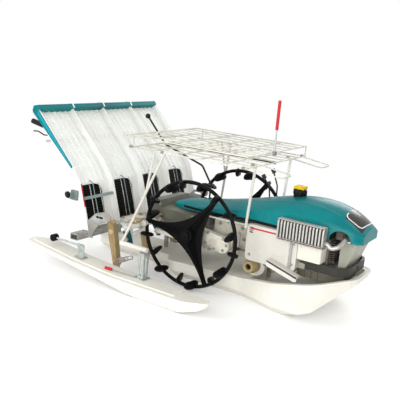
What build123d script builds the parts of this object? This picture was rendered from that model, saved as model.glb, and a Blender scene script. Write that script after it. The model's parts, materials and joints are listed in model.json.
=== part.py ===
from build123d import *

import os
from math import atan2, cos, degrees, hypot, radians, sin

# Four-row walk-behind rice transplanter.
# +X is forward, +Y is the machine's left and +Z is up; the origin is on the ground,
# on the centre plane below the wheel axles. Every size is in millimetres.

os.makedirs("parts", exist_ok=True)

# ---- driving dimensions -------------------------------------------------------------------
row_pitch = 300.0  # distance between planted rows
row_count = 4
side_gap = 0.3  # gap between curved faces that sit on each other
running_fit = 0.05  # radial clearance of a shaft in its bore

# wheels
track_half = 300.0  # centre plane to wheel plane
ring_radius = 316.0
ring_thickness = 22.0
lug_tip_radius = 330.0
lug_height = 38.0
lug_width = 110.0
lug_thickness = 14.0
lug_shift = 24.0  # alternate lugs stand out to each side
lug_skew = 18.0
lug_count = 16
wheel_lift = 3.0  # the floats carry the machine, so the lugs just clear the floor
axle_height = lug_tip_radius + wheel_lift
spoke_count = 3
first_spoke = -63.8
spoke_tip_radius = 312.0
spoke_tip_half = 12.0
star_waist = 78.0
star_thickness = 14.0
spoke_ridge = 8.0
hub_radius = 42.0
hub_length = 76.0
axle_radius = 12.5
axle_overhang = 9.0

# drive
drive_x = 190.0  # where the swing cases meet the gearbox
drive_z = 300.0
case_inner = 198.0
case_thickness = 40.0
drive_end_radius = 48.0
axle_end_radius = 40.0
gearbox_front = 300.0
gearbox_rear = 60.0
gearbox_half = 118.0
gearbox_floor = 215.0
gearbox_top = 428.0

# frame and engine
rail_height = 35.0
rail_width = 30.0
rail_y = 135.0
rail_floor = 235.0
rail_front = 700.0
base_rear = 420.0
base_front = 900.0
base_half = 171.0
base_thickness = 30.0
base_floor = rail_floor + rail_height
engine_rear = 480.0
engine_front = 800.0
engine_half = 118.0
engine_top = 452.0

# bonnet sections: x, half width, lower edge, shoulder, crown
bonnet_sections = [
    (-300.0, 42.0, 418.0, 424.0, 438.0),
    (0.0, 135.0, 438.0, 470.0, 507.0),
    (330.0, 178.0, 466.0, 530.0, 582.0),
    (620.0, 188.0, 468.0, 565.0, 645.0),
    (860.0, 168.0, 466.0, 545.0, 617.0),
    (985.0, 112.0, 464.0, 505.0, 538.0),
]
bonnet_wall = 5.0
arch_x = 868.0
arch_z = 472.0
arch_radius = 56.0
window_rear = 862.0
window_front = 968.0
window_half = 108.0
window_floor = 528.0
cap_x = 540.0
cap_radius = 44.0

# guard over the exhaust box
guard_rear = 538.0
guard_front = 812.0
guard_outer = base_half + 81.0
guard_depth = 46.0
guard_floor = 427.0
guard_top = 545.0
guard_plate = 6.0
fin_count = 18
fin_thickness = 3.5

# planting unit
beam_x = -372.0
beam_z = 340.0
beam_side = 40.0
beam_top = beam_z + beam_side / 2
beam_half = 415.0
float_arm_y = 547.0  # the side floats hang below these arms
float_arm_z = 259.0
float_arm_rear = -310.0
float_arm_radius = 15.0
hanger_rear = beam_x + 10.0  # the rails end on hangers under the beam
hanger_thickness = 30.0
rail_rear = hanger_rear + hanger_thickness
crank_x = -460.0
crank_z = 315.0
crank_throw = 36.0
shaft_radius = 10.0
pin_radius = 7.0
arm_width = 40.0
pin_z = crank_z - crank_throw  # the arms rest at the bottom of their stroke
arm_top_radius = 24.0
arm_head = (-470.0, 320.0)
foot_x = -414.0
foot_z = 84.0
foot_radius = 17.0
foot_floor = 52.0
claw_x = -322.0
claw_z = 138.0
claw_radius = 13.0
claw_plate = 4.0

# seedling table: surface line from the top edge down, x and z
table_line = [(-1085.0, 945.0), (-775.0, 625.0), (-705.0, 530.0), (-637.0, 266.0)]
wall_line = [(-1062.0, 962.0), (-742.0, 642.0), (-672.0, 550.0), (-588.0, 266.0)]
table_shift = 70.0  # where the table stands along its slide
table_plate = 12.0
wall_thickness = 12.0
rib_count = 5
rib_height = 7.0
rib_width = 8.0
belt_width = 200.0
belt_margin = 16.0
belt_top = 524.0
belt_floor = 280.0

table_width = row_pitch * row_count
table_right = table_shift - table_width / 2
table_left = table_shift + table_width / 2

# rack
rack_half = 375.0
rack_top_z = 868.0
rack_low_z = 805.0
rack_rear = -450.0
rack_front = 380.0
rack_low_rear = -400.0
rack_wire = 4.0
post_radius = 8.0

# handles
handle_y = 240.0
handle_radius = 14.0
grip_length = 125.0
grip_radius = 18.0


def bent_rod(points, radius, bend):
    """A round rod along a line of points with rounded corners."""
    with BuildPart() as rod:
        with BuildLine() as path:
            if len(points) > 2:
                FilletPolyline(*points, radius=bend)
            else:
                Line(*points)
        with BuildSketch(Plane(origin=path.line @ 0, z_dir=path.line % 0)):
            Circle(radius)
        sweep()
    return rod.part


def side_prism(points, y_low, y_high):
    """A side view outline in x and z, as thick as the stretch from y_low to y_high."""
    with BuildPart() as prism:
        with BuildSketch(Plane.XZ.offset(-y_high)):
            with BuildLine():
                Polyline(*points, close=True)
            make_face()
        extrude(amount=y_high - y_low)
    return prism.part


def block(x_low, x_high, y_low, y_high, z_low, z_high):
    """A plain block between two corners."""
    with BuildPart() as box:
        with Locations(((x_low + x_high) / 2, (y_low + y_high) / 2, (z_low + z_high) / 2)):
            Box(x_high - x_low, y_high - y_low, z_high - z_low)
    return box.part


def save(part, name):
    part.label = name
    export_step(part, f"parts/{name}.step")


# ---- floats -------------------------------------------------------------------------------
# plan outline of the centre float: x, half width, corner radius
float_plan = [
    (-880.0, 105.0, 45.0),
    (-255.0, 105.0, 55.0),
    (-195.0, 203.0, 55.0),
    (330.0, 203.0, 300.0),
    (560.0, 282.0, 300.0),
    (800.0, 282.0, 190.0),
    (978.0, 115.0, 100.0),
]
float_under = [(-880.0, 30.0), (-640.0, 0.0), (620.0, 0.0), (800.0, 70.0), (985.0, 245.0)]
float_top = [(985.0, 272.0), (620.0, 190.0), (330.0, 128.0), (-195.0, 104.0), (-880.0, 96.0)]
float_rim = 12.0
float_lip = 9.0
float_chamfer = 42.0
tub_depth = 46.0
tub_rear = 372.0
tub_inset = 24.0


def float_outline(grow):
    half = [(x, y, r) for x, y, r in float_plan]
    points = [(x, y) for x, y, r in half] + [(x, -y) for x, y, r in reversed(half)]
    radii = [r for x, y, r in half] + [r for x, y, r in reversed(half)]
    with BuildSketch() as outline:
        with BuildLine():
            FilletPolyline(*points, radius=radii, close=True)
        make_face()
        if grow:
            offset(amount=grow, mode=Mode.REPLACE)
    return outline.sketch


with BuildPart() as centre_float:
    with BuildSketch():
        add(float_outline(0))
    extrude(amount=300)
    chamfer(centre_float.faces().sort_by(Axis.Z)[0].edges(), length=float_chamfer)
    add(side_prism(float_under + float_top, -320, 320), mode=Mode.INTERSECT)

with BuildPart() as float_rim_band:
    with BuildSketch():
        add(float_outline(float_lip))
    extrude(amount=300)
    rim_under = [(x, z - float_rim) for x, z in reversed(float_top)]
    add(side_prism(rim_under + float_top, -320, 320), mode=Mode.INTERSECT)

with BuildPart() as float_tub:
    with BuildSketch():
        add(float_outline(-tub_inset))
    extrude(amount=320)
    tub_under = [(x, z - tub_depth) for x, z in reversed(float_top)]
    tub_over = [(985.0, 320.0), (-880.0, 320.0)]
    add(side_prism(tub_under + tub_over, -320, 320), mode=Mode.INTERSECT)
    split(bisect_by=Plane.YZ.offset(tub_rear), keep=Keep.TOP)

with BuildPart() as centre_float_body:
    add(centre_float.part)
    add(float_rim_band.part)
    add(float_tub.part, mode=Mode.SUBTRACT)
save(centre_float_body.part, "centre_float")

# plan outline of a side float: x, distance from the centre plane, corner radius
side_inner = row_pitch * (row_count - 1) / 2 + arm_width / 2 + 22.0  # clear of the outer arms
side_outer = float_arm_y + 109.0
side_plan = [
    (-990.0, side_inner + 80.0, 40.0),
    (-890.0, side_inner, 60.0),
    (60.0, side_inner, 150.0),
    (335.0, side_inner + 58.0, 22.0),
    (350.0, side_inner + 106.0, 30.0),
    (225.0, side_outer, 90.0),
    (-990.0, side_outer, 36.0),
]
side_under = [(-990.0, 126.0), (-80.0, 0.0), (150.0, 0.0), (300.0, 36.0), (350.0, 66.0)]
side_top = [(350.0, 84.0), (150.0, 78.0), (-300.0, 78.0), (-600.0, 98.0), (-990.0, 146.0)]
side_bevel = 14.0
deck_inset = 30.0
deck_height = 8.0
deck_front = 250.0
deck_top = side_top[2][1] + deck_height


def side_outline(side, inset):
    """The plan of a side float, drawn inside the real one by the inset."""
    with BuildSketch() as outline:
        with BuildLine():
            FilletPolyline(
                *[(x, side * y) for x, y, r in side_plan], radius=[r for x, y, r in side_plan], close=True
            )
        make_face()
        if inset:
            offset(amount=-inset, mode=Mode.REPLACE)
    return outline.sketch


side_floats = []
for side_name, side in (("right", -1), ("left", 1)):
    with BuildPart() as side_hull:
        with BuildSketch():
            add(side_outline(side, 0))
        extrude(amount=200)
        chamfer(side_hull.faces().sort_by(Axis.Z)[0].edges(), length=side_bevel)
        add(side_prism(side_under + side_top, -side_outer - 1, side_outer + 1), mode=Mode.INTERSECT)
    with BuildPart() as side_deck:
        with BuildSketch():
            add(side_outline(side, deck_inset))
        extrude(amount=200)
        raised = [(x, z + deck_height) for x, z in reversed(side_top[1:])]
        sunk = [(x, z - deck_height) for x, z in side_top[1:]]
        add(side_prism(raised + sunk, -side_outer - 1, side_outer + 1), mode=Mode.INTERSECT)
    with BuildPart() as side_float:
        add(side_hull.part)
        add(side_deck.part)
    side_floats.append(side_float.part)
    save(side_float.part, f"side_float_{side_name}")

# ---- wheels, axles and swing cases --------------------------------------------------------
bisector = radians(360 / spoke_count / 2)
for side_name, side in (("right", -1), ("left", 1)):
    wheel_y = side * track_half
    wheel_plane = Plane.XZ.offset(-wheel_y).shift_origin((0, wheel_y, axle_height))
    with BuildPart() as wheel:
        with BuildSketch(Plane.XY.offset(axle_height)):
            with Locations((ring_radius, wheel_y)):
                RegularPolygon(radius=ring_thickness / 2, side_count=8)
        revolve(axis=Axis((0, wheel_y, axle_height), (0, 1, 0)))
        with BuildSketch(wheel_plane.offset(-star_thickness / 2)):
            with BuildLine():
                for spoke in range(spoke_count):
                    angle = radians(first_spoke) + 2 * bisector * spoke
                    turn = atan2(spoke_tip_half, spoke_tip_radius)
                    reach = hypot(spoke_tip_half, spoke_tip_radius)
                    edge_a = (reach * cos(angle - turn), reach * sin(angle - turn))
                    edge_b = (reach * cos(angle + turn), reach * sin(angle + turn))
                    waist = (star_waist * cos(angle + bisector), star_waist * sin(angle + bisector))
                    next_angle = angle + 2 * bisector - turn
                    edge_c = (reach * cos(next_angle), reach * sin(next_angle))
                    Line(edge_a, edge_b)
                    ThreePointArc(edge_b, waist, edge_c)
            make_face()
        extrude(amount=star_thickness)
        with Locations(wheel_plane):
            for spoke in range(spoke_count):
                spoke_turn = Location((0, 0, 0), (0, 0, first_spoke + degrees(2 * bisector) * spoke))
                with Locations(spoke_turn * Location((spoke_tip_radius / 2, 0, 0))):
                    Box(spoke_tip_radius, spoke_ridge, star_thickness + 2 * spoke_ridge)
            Cylinder(hub_radius, hub_length)
            for lug in range(lug_count):
                turn = 360 * (lug + 0.5) / lug_count
                way = 1 if lug % 2 else -1
                lug_plane = Location((0, 0, 0), (0, 0, turn))
                reach = lug_tip_radius - lug_height / 2
                seat = lug_plane * Location((reach, 0, way * lug_shift), (way * lug_skew, 0, 0))
                with Locations(seat):
                    Box(lug_height, lug_thickness, lug_width)
            Cylinder(axle_radius + running_fit, hub_length * 2, mode=Mode.SUBTRACT)
    save(wheel.part, f"wheel_{side_name}")

    case_outer = case_inner + case_thickness
    hub_face = track_half - hub_length / 2
    with BuildPart() as swing_case:
        with BuildSketch(Plane.XZ.offset(-side * case_inner)):
            with Locations((drive_x, drive_z)):
                Circle(drive_end_radius)
            with Locations((0, axle_height)):
                Circle(axle_end_radius)
            make_hull()
        extrude(amount=-side * case_thickness)
        with BuildSketch(Plane.XZ.offset(-side * case_outer)):
            with Locations((0, axle_height)):
                Circle(axle_end_radius * 0.7)
        extrude(amount=-side * (hub_face - side_gap - case_outer))
        with BuildSketch(Plane.XZ.offset(-side * case_inner)):
            with Locations((0, axle_height)):
                Circle(axle_radius)
        extrude(amount=-side * (track_half + hub_length / 2 + axle_overhang - case_inner))
    save(swing_case.part, f"swing_case_{side_name}")

# ---- gearbox, frame and engine ------------------------------------------------------------
with BuildPart() as gearbox:
    with Locations(((gearbox_front + gearbox_rear) / 2, 0, (gearbox_floor + gearbox_top) / 2)):
        Box(gearbox_front - gearbox_rear, 2 * gearbox_half, gearbox_top - gearbox_floor)
    fillet(gearbox.edges().filter_by(Axis.Y), radius=30)
    with BuildSketch(Plane.XZ.offset(-case_inner)):
        with Locations((drive_x, drive_z)):
            Circle(drive_end_radius - 4)
    extrude(amount=2 * case_inner)
save(gearbox.part, "gearbox")

with BuildPart() as frame_rails:
    for side in (-1, 1):
        with Locations(((rail_rear + rail_front) / 2, side * rail_y, rail_floor + rail_height / 2)):
            Box(rail_front - rail_rear, rail_width, rail_height)
    for cross_x in (-120.0, 380.0):
        with Locations((cross_x, 0, rail_floor + rail_height / 2)):
            Box(rail_width, 2 * rail_y, rail_height)
    add(gearbox.part, mode=Mode.SUBTRACT)
save(frame_rails.part, "frame_rails")

base_top = base_floor + base_thickness
panel_half = 106.0
panel_foot = 858.0
panel_lean = 58.0
panel_wall = 12.0
panel_top = 460.0
panel_outline = [
    (panel_foot, base_top - 1),
    (base_front - 1, base_top - 1),
    (base_front + panel_lean, panel_top),
    (base_front + panel_lean - panel_wall, panel_top),
    (base_front - panel_wall, base_top + panel_wall),
    (panel_foot, base_top + panel_wall),
]
with BuildPart() as engine_base:
    with BuildSketch(Plane.XY.offset(base_floor)):
        with Locations(((base_rear + base_front) / 2, 0)):
            Rectangle(base_front - base_rear, 2 * base_half)
    extrude(amount=base_thickness)
    chamfer(engine_base.faces().sort_by(Axis.X)[-1].edges().filter_by(Axis.Z), length=62)
    add(side_prism(panel_outline, -panel_half, panel_half))
save(engine_base.part, "engine_base")

with BuildPart() as engine_block:
    add(block(engine_rear, engine_front, -engine_half, engine_half, base_top, engine_top))
save(engine_block.part, "engine_block")

# ---- bonnet -------------------------------------------------------------------------------


def bonnet_skin(sections, inset):
    """A smooth skin through arched cross sections, drawn inside the real one by the inset."""
    with BuildPart() as skin:
        for x, half, low, shoulder, crown in sections:
            width = half - inset
            with BuildSketch(Plane.YZ.offset(x)):
                with BuildLine():
                    Polyline((-width, shoulder - inset), (-width, low), (width, low), (width, shoulder - inset))
                    ThreePointArc(
                        (width, shoulder - inset), (0, crown - inset), (-width, shoulder - inset)
                    )
                make_face()
        loft()
    return skin.part


hollow_sections = [
    (x - bonnet_wall if x == bonnet_sections[-1][0] else x, half, low - 2 * bonnet_wall, shoulder, crown)
    for x, half, low, shoulder, crown in bonnet_sections[1:]
]
with BuildPart() as hood_shell:
    add(bonnet_skin(bonnet_sections, 0))
    add(bonnet_skin(hollow_sections, bonnet_wall), mode=Mode.SUBTRACT)
with BuildPart() as window_zone:
    add(block(window_rear, window_front, -window_half, window_half, window_floor, 700))
with BuildPart() as bonnet:
    add(hood_shell.part)
    add(window_zone.part, mode=Mode.SUBTRACT)
    with Locations(Plane.XZ.offset(window_half)):
        with Locations((arch_x, arch_z, 0)):
            Cylinder(arch_radius, 240, mode=Mode.SUBTRACT)
    with Locations((-68, 0, 450)):
        Box(60, 34, 200, mode=Mode.SUBTRACT)
save(bonnet.part, "bonnet")
with BuildPart() as bonnet_window:
    add(hood_shell.part)
    add(window_zone.part, mode=Mode.INTERSECT)
save(bonnet_window.part, "bonnet_window")

with BuildPart() as fuel_cap:
    with Locations((cap_x, 0, 0)):
        Cylinder(cap_radius, 700, align=(Align.CENTER, Align.CENTER, Align.MIN))
        with Locations((0, 0, 700 - 30)):
            Cylinder(cap_radius + 1, 30.1, align=(Align.CENTER, Align.CENTER, Align.MIN), mode=Mode.SUBTRACT)
        with Locations((0, 0, 670)):
            Cylinder(cap_radius * 0.55, 24, align=(Align.CENTER, Align.CENTER, Align.MIN))
    add(bonnet_skin(bonnet_sections, 0), mode=Mode.SUBTRACT)
    split(bisect_by=Plane.XY.offset(560), keep=Keep.TOP)
save(fuel_cap.part, "fuel_cap")

bumper_floor = 276.0
bumper_height = 50.0
bumper_top = bumper_floor + bumper_height
bumper_rear = 700.0

# ---- exhaust side -------------------------------------------------------------------------
guard_inner = guard_outer - guard_depth
guard_length = guard_front - guard_rear
with BuildPart() as muffler_guard:
    for low, high in ((guard_floor, guard_floor + 2 * guard_plate), (guard_top - guard_plate, guard_top)):
        add(block(guard_rear, guard_front, -guard_outer, -guard_inner, low, high))
    for fin in range(fin_count):
        fin_x = guard_rear + fin_thickness / 2 + fin * (guard_length - fin_thickness) / (fin_count - 1)
        with Locations((fin_x, -(guard_outer + guard_inner) / 2, (guard_floor + guard_top) / 2)):
            Box(fin_thickness, guard_depth, guard_top - guard_floor)
    add(block(guard_rear, guard_front, -guard_inner - 8, -guard_inner, guard_floor, guard_top))
    add(block(600, 700, -guard_inner, -engine_half, guard_floor, guard_floor + guard_plate))
save(muffler_guard.part, "muffler_guard")

pipe_radius = 13.0
pipe_y = -base_half - 55.0
pipe_z = 458.0
pipe_route = [
    (guard_front, pipe_y, pipe_z),
    (826, pipe_y, pipe_z),
    (852, pipe_y, 438),
    (886, pipe_y + 10, 452),
    (900, pipe_y + 60, 484),
    (880, pipe_y + 110, 492),
]
save(bent_rod(pipe_route, pipe_radius, 20), "exhaust_pipe")

cover_rear = 337.0
cover_front = 655.0
cover_outer = base_half + 43.0
cover_inner = 124.0
cover_floor = 250.0
cover_top = 462.0
with BuildPart() as side_cover:
    add(block(cover_rear, cover_front, -cover_outer, -cover_inner, cover_floor, cover_top))
    fillet(side_cover.edges().filter_by(Axis.Y), radius=28)
    add(block(cover_rear - 1, cover_front + 1, -base_half - 1, -cover_inner + 1, cover_floor - 1,
              base_top), mode=Mode.SUBTRACT)
    add(block(cover_rear - 1, rail_front, -base_half - 1, -rail_y + rail_width, rail_floor - 1, base_top),
        mode=Mode.SUBTRACT)
    add(block(guard_rear - 1, cover_front + 1, -cover_outer - 1, -cover_inner, guard_floor - 1,
              cover_top + 1), mode=Mode.SUBTRACT)
save(side_cover.part, "side_cover")

air_box_front = 792.0
with BuildPart() as air_box:
    add(block(cover_front, air_box_front, -base_half - 35, -engine_half, bumper_top + 4, guard_floor - 2))
    fillet(air_box.edges().filter_by(Axis.Z).group_by(Axis.X)[-1], radius=12)
save(air_box.part, "air_box")

# ---- front --------------------------------------------------------------------------------
bumper_front = 938.0
bumper_wall = 14.0
bumper_bend = 92.0
tow_radius = 11.0
tow_z = bumper_floor + bumper_height / 2
with BuildPart() as bumper:
    with BuildSketch(Plane.XY.offset(bumper_floor)):
        outer = base_half + bumper_wall
        with BuildLine():
            FilletPolyline(
                (bumper_rear, -outer), (bumper_front, -outer), (bumper_front, outer),
                (bumper_rear, outer), radius=bumper_bend
            )
            Line((bumper_rear, outer), (bumper_rear, base_half))
            FilletPolyline(
                (bumper_rear, base_half),
                (bumper_front - bumper_wall, base_half),
                (bumper_front - bumper_wall, -base_half),
                (bumper_rear, -base_half),
                radius=bumper_bend - bumper_wall,
            )
            Line((bumper_rear, -base_half), (bumper_rear, -outer))
        make_face()
    extrude(amount=bumper_height)
    with Locations((bumper_front - bumper_wall / 2, 0, tow_z)):
        Cylinder(tow_radius, 4 * bumper_wall, rotation=(0, 90, 0), mode=Mode.SUBTRACT)
save(bumper.part, "bumper")

step_rear = (500.0, 292.0)
step_front = (694.0, 236.0)
step_ribs = 12
step_thick = 9.0
step_width = 46.0
step_y = -cover_outer - 2 - step_width / 2
with BuildPart() as step_plate:
    run = step_front[0] - step_rear[0]
    drop = step_front[1] - step_rear[1]
    slope = hypot(run, drop)
    step_plane = Plane(origin=(step_rear[0], step_y, step_rear[1]), x_dir=(run, 0, drop), z_dir=(-drop, 0, run))
    with Locations(step_plane):
        with Locations((slope / 2, 0, 0)):
            Box(slope, step_width, step_thick)
        for rib in range(step_ribs):
            with Locations(((rib + 0.5) * slope / step_ribs, 0, step_thick / 2)):
                Box(5, step_width, 6)
    add(block(622, 650, step_y, -rail_y - rail_width / 2 - 6, cover_floor - 14, cover_floor))
save(step_plate.part, "step_plate")

cup_x = 362.0
cup_z = 203.0
with BuildPart() as drive_cup:
    with BuildSketch(Plane.XZ.offset(rail_y - rail_width / 2)):
        with Locations((cup_x, cup_z)):
            Circle(46)
        with Locations((cup_x, cup_z + 40)):
            Circle(16)
        make_hull()
    extrude(amount=rail_width + 20)
    with BuildSketch(Plane.XZ.offset(rail_y + rail_width / 2 + 20)):
        with Locations((cup_x, cup_z)):
            Circle(46)
    extrude(amount=36, taper=18)
    with Locations(Plane.XZ.offset(rail_y + rail_width / 2 + 66)):
        with Locations((cup_x, cup_z, 0)):
            Cylinder(19, 60, mode=Mode.SUBTRACT)
    add(frame_rails.part, mode=Mode.SUBTRACT)
    add(side_cover.part, mode=Mode.SUBTRACT)
save(drive_cup.part, "drive_cup")

# ---- rear cover under the bonnet's tail ---------------------------------------------------
cover_half = 158.0
with BuildPart() as rear_cover:
    outline = [(-330, 458), (-400, 452), (-404, beam_top), (-348, beam_top), (-348, 330),
               (-290, 296), (-180, 274), (-60, 284), (44, 370), (44, 412), (-318, 412)]
    add(side_prism(outline, -cover_half, cover_half))
    fillet(rear_cover.edges().filter_by(Axis.Y).sort_by(Axis.Z)[:3], radius=24)
    add(block(-240, -200, -30, 30, 411, 440))
    add(bonnet_skin(bonnet_sections, 0), mode=Mode.SUBTRACT)
save(rear_cover.part, "rear_cover")

# ---- planting unit ------------------------------------------------------------------------
case_y = row_pitch  # each planting case stands between two rows
case_half = 40.0
crank_gap = 62.0
bracket_x = -118.0
bracket_length = 40.0
bracket_top = float_arm_z - float_arm_radius
bracket_half = 23.0
with BuildPart() as planting_beam:
    with Locations((beam_x, 0, beam_z)):
        Box(beam_side, 2 * beam_half, beam_side)
    for side in (-1, 1):
        arm_root = side * (beam_half - float_arm_radius)
        add(block(beam_x - float_arm_radius, beam_x + float_arm_radius, arm_root - float_arm_radius,
                  arm_root + float_arm_radius, float_arm_z - float_arm_radius, beam_z - beam_side / 2))
        add(bent_rod([(beam_x, arm_root, float_arm_z), (float_arm_rear, side * float_arm_y, float_arm_z),
                      (bracket_x, side * float_arm_y, float_arm_z)], float_arm_radius, 24))
        low_y = side * rail_y - rail_width / 2
        add(block(hanger_rear, rail_rear, low_y, low_y + rail_width, rail_floor, beam_z - beam_side / 2))
save(planting_beam.part, "planting_beam")

for side_name, side in (("right", -1), ("left", 1)):
    centre_y = side * case_y
    with BuildPart() as planting_case:
        with BuildSketch(Plane.XZ.offset(-(centre_y + case_half))):
            with Locations((crank_x, crank_z)):
                Circle(34)
            with Locations((beam_x - beam_side / 2 - 26, beam_z - 8)):
                Circle(26)
            make_hull()
        extrude(amount=2 * case_half)
        with Locations(Plane.XZ.offset(-centre_y)):
            with Locations((crank_x, crank_z, 0)):
                Cylinder(shaft_radius + running_fit, 4 * case_half, mode=Mode.SUBTRACT)
    save(planting_case.part, f"planting_case_{side_name}")

    with BuildPart() as crank:
        with Locations(Plane.XZ.offset(-centre_y)):
            with Locations((crank_x, crank_z, 0)):
                Cylinder(shaft_radius, 2 * (case_half + crank_gap))
            for end in (-1, 1):
                with Locations((crank_x, crank_z - crank_throw / 2, end * (case_half + crank_gap - 8))):
                    Box(28, crank_throw + 30, 14)
                pin_centre = case_half + crank_gap + arm_width / 2 + 6
                with Locations((crank_x, pin_z, end * pin_centre)):
                    Cylinder(pin_radius, arm_width + 20)
    save(crank.part, f"crank_{side_name}")

    with BuildPart() as arms:
        for end in (-1, 1):
            row_y = centre_y + end * row_pitch / 2
            with BuildSketch(Plane.XZ.offset(-(row_y + arm_width / 2))):
                with Locations((crank_x, pin_z), arm_head):
                    Circle(arm_top_radius)
                with Locations((foot_x, foot_z)):
                    Circle(foot_radius)
                make_hull()
            extrude(amount=arm_width)
            add(block(foot_x - foot_radius, foot_x + foot_radius - 4, row_y - arm_width / 2 + 4,
                      row_y + arm_width / 2 - 4, foot_floor, foot_z))
            with Locations(Plane.XZ.offset(-row_y)):
                with Locations((crank_x, pin_z, 0)):
                    Cylinder(pin_radius + running_fit, 2 * arm_width, mode=Mode.SUBTRACT)
    save(arms.part, f"planting_arms_{side_name}")

    with BuildPart() as claws:
        for end in (-1, 1):
            row_y = centre_y + end * row_pitch / 2
            for prong in (-1, 1):
                prong_y = row_y + prong * (arm_width / 2 + claw_plate / 2)
                with BuildSketch(Plane.XZ.offset(-(prong_y + claw_plate / 2))):
                    for radius, mode in ((claw_radius, Mode.ADD), (claw_radius - 6, Mode.SUBTRACT)):
                        with BuildSketch(mode=Mode.PRIVATE) as loop:
                            for x, z in ((foot_x + 6, foot_z + 16), (claw_x, claw_z)):
                                with Locations((x, z)):
                                    Circle(radius)
                            make_hull()
                        add(loop.sketch, mode=mode)
                extrude(amount=claw_plate)
    save(claws.part, f"planting_claws_{side_name}")

end_plate = [(-600, 230), (-600, 260), (-582, 262), (-582, 272), (-594, 330), (-528, 392), (-456, 414),
             (-408, 394), (-416, 366), (-500, 330), (-548, 262), (-548, 230)]
with BuildPart() as table_rail:
    rail_half = row_pitch * row_count / 2 + 30
    add(block(-640, -585, -rail_half, rail_half, 224, 262))
    for side in (-1, 1):
        plate_y = side * (row_pitch * row_count / 2 - 65)
        add(side_prism(end_plate, plate_y - 3, plate_y + 3))
        add(block(-526, -470, plate_y - 4, plate_y + 4, 364, 378), mode=Mode.SUBTRACT)
    for side in (-1, 1):
        low_y = side * case_y - 20
        add(side_prism([(-585, 238), (-585, 262), (-500, 322), (-478, 286), (-500, 276), (-560, 238)], low_y,
                       low_y + 40))
    for side_name, side in (("right", -1), ("left", 1)):
        with Locations(Plane.XZ.offset(-side * case_y)):
            with Locations((crank_x, crank_z, 0)):
                Cylinder(34 + side_gap, 4 * case_half, mode=Mode.SUBTRACT)
save(table_rail.part, "table_rail")

# ---- seedling table -----------------------------------------------------------------------


def step_off(line, distance):
    """The same line moved square to itself, towards the front for a positive distance."""
    moved = []
    for index in range(len(line)):
        low = line[max(index - 1, 0)]
        high = line[min(index + 1, len(line) - 1)]
        run = hypot(high[0] - low[0], high[1] - low[1])
        across = (-(high[1] - low[1]) / run, (high[0] - low[0]) / run)
        moved.append((line[index][0] + across[0] * distance, line[index][1] + across[1] * distance))
    return moved


def line_at(line, height):
    """The x of a line at a height."""
    for (x_a, z_a), (x_b, z_b) in zip(line, line[1:]):
        if z_b <= height <= z_a:
            return x_a + (x_b - x_a) * (z_a - height) / (z_a - z_b)
    return line[-1][0]


table_back = step_off(table_line, -table_plate)
rib_line = step_off(table_line, rib_height)
with BuildPart() as seedling_table:
    add(side_prism(table_line + table_back[::-1], table_right, table_left))
    for wall in range(row_count + 1):
        wall_y = table_right + wall * row_pitch
        wall_low = min(max(wall_y - wall_thickness / 2, table_right), table_left - wall_thickness)
        add(side_prism(wall_line + table_back[::-1], wall_low, wall_low + wall_thickness))
    for row in range(row_count):
        row_right = table_right + row * row_pitch
        for rib in range(rib_count):
            rib_y = row_right + (rib + 1) * row_pitch / (rib_count + 1)
            add(side_prism(rib_line[:3] + table_back[2::-1], rib_y - rib_width / 2, rib_y + rib_width / 2))
        belt_right = row_right + belt_margin
        slot = [(line_at(table_line, belt_top) - 60, belt_top), (-500, belt_top), (-500, belt_floor),
                (line_at(table_line, belt_floor) - 60, belt_floor)]
        add(side_prism(slot, belt_right, belt_right + belt_width), mode=Mode.SUBTRACT)
save(seedling_table.part, "seedling_table")

belt_face = step_off(table_line, 4)
belt_under = step_off(table_line, -22)
belt_rib = 4.0
belt_ribs = 15
with BuildPart() as feed_belts:
    for row in range(row_count):
        belt_right = table_right + row * row_pitch + belt_margin + side_gap
        face = [(line_at(belt_face, belt_top - 1), belt_top - 1), (line_at(belt_face, belt_floor + 1),
                                                                  belt_floor + 1)]
        under = [(line_at(belt_under, belt_floor + 1), belt_floor + 1), (line_at(belt_under, belt_top - 1),
                                                                        belt_top - 1)]
        belt_left = belt_right + belt_width - 2 * side_gap
        add(side_prism(face + under, belt_right, belt_left))
        for rib in range(belt_ribs):
            rib_z = belt_floor + 1 + (rib + 0.5) * (belt_top - belt_floor - 2) / belt_ribs
            rib_x = line_at(belt_face, rib_z)
            add(block(rib_x - 4, rib_x + belt_rib, belt_right + 6, belt_left - 6, rib_z - 2.5, rib_z + 2.5))
save(feed_belts.part, "feed_belts")

cap_height = 34.0
cap_gap = 3.0
with BuildPart() as table_caps:
    top_back = table_back[0]
    top_wall = wall_line[0]
    cap_profile = [
        (top_back[0] - 14, top_back[1] + 2),
        (top_back[0] - 14 + 10, top_back[1] + 2 + cap_height),
        (top_wall[0] + 10, top_wall[1] + cap_height * 0.6),
        (top_wall[0] + 26, top_wall[1] - 4),
        (top_back[0] + 6, top_back[1] - 22),
    ]
    for row in range(row_count):
        row_right = table_right + row * row_pitch
        add(side_prism(cap_profile, row_right + cap_gap / 2, row_right + row_pitch - cap_gap / 2))
    trim_line = wall_line[:2]
    trim_low = [(wall_line[1][0] - 6, wall_line[1][1] - 14), (wall_line[0][0] - 36, wall_line[0][1] - 30)]
    for low_y in (table_right - 4, table_left):
        add(side_prism(trim_line + trim_low, low_y, low_y + 4))
    add(seedling_table.part, mode=Mode.SUBTRACT)
save(table_caps.part, "table_caps")

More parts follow.
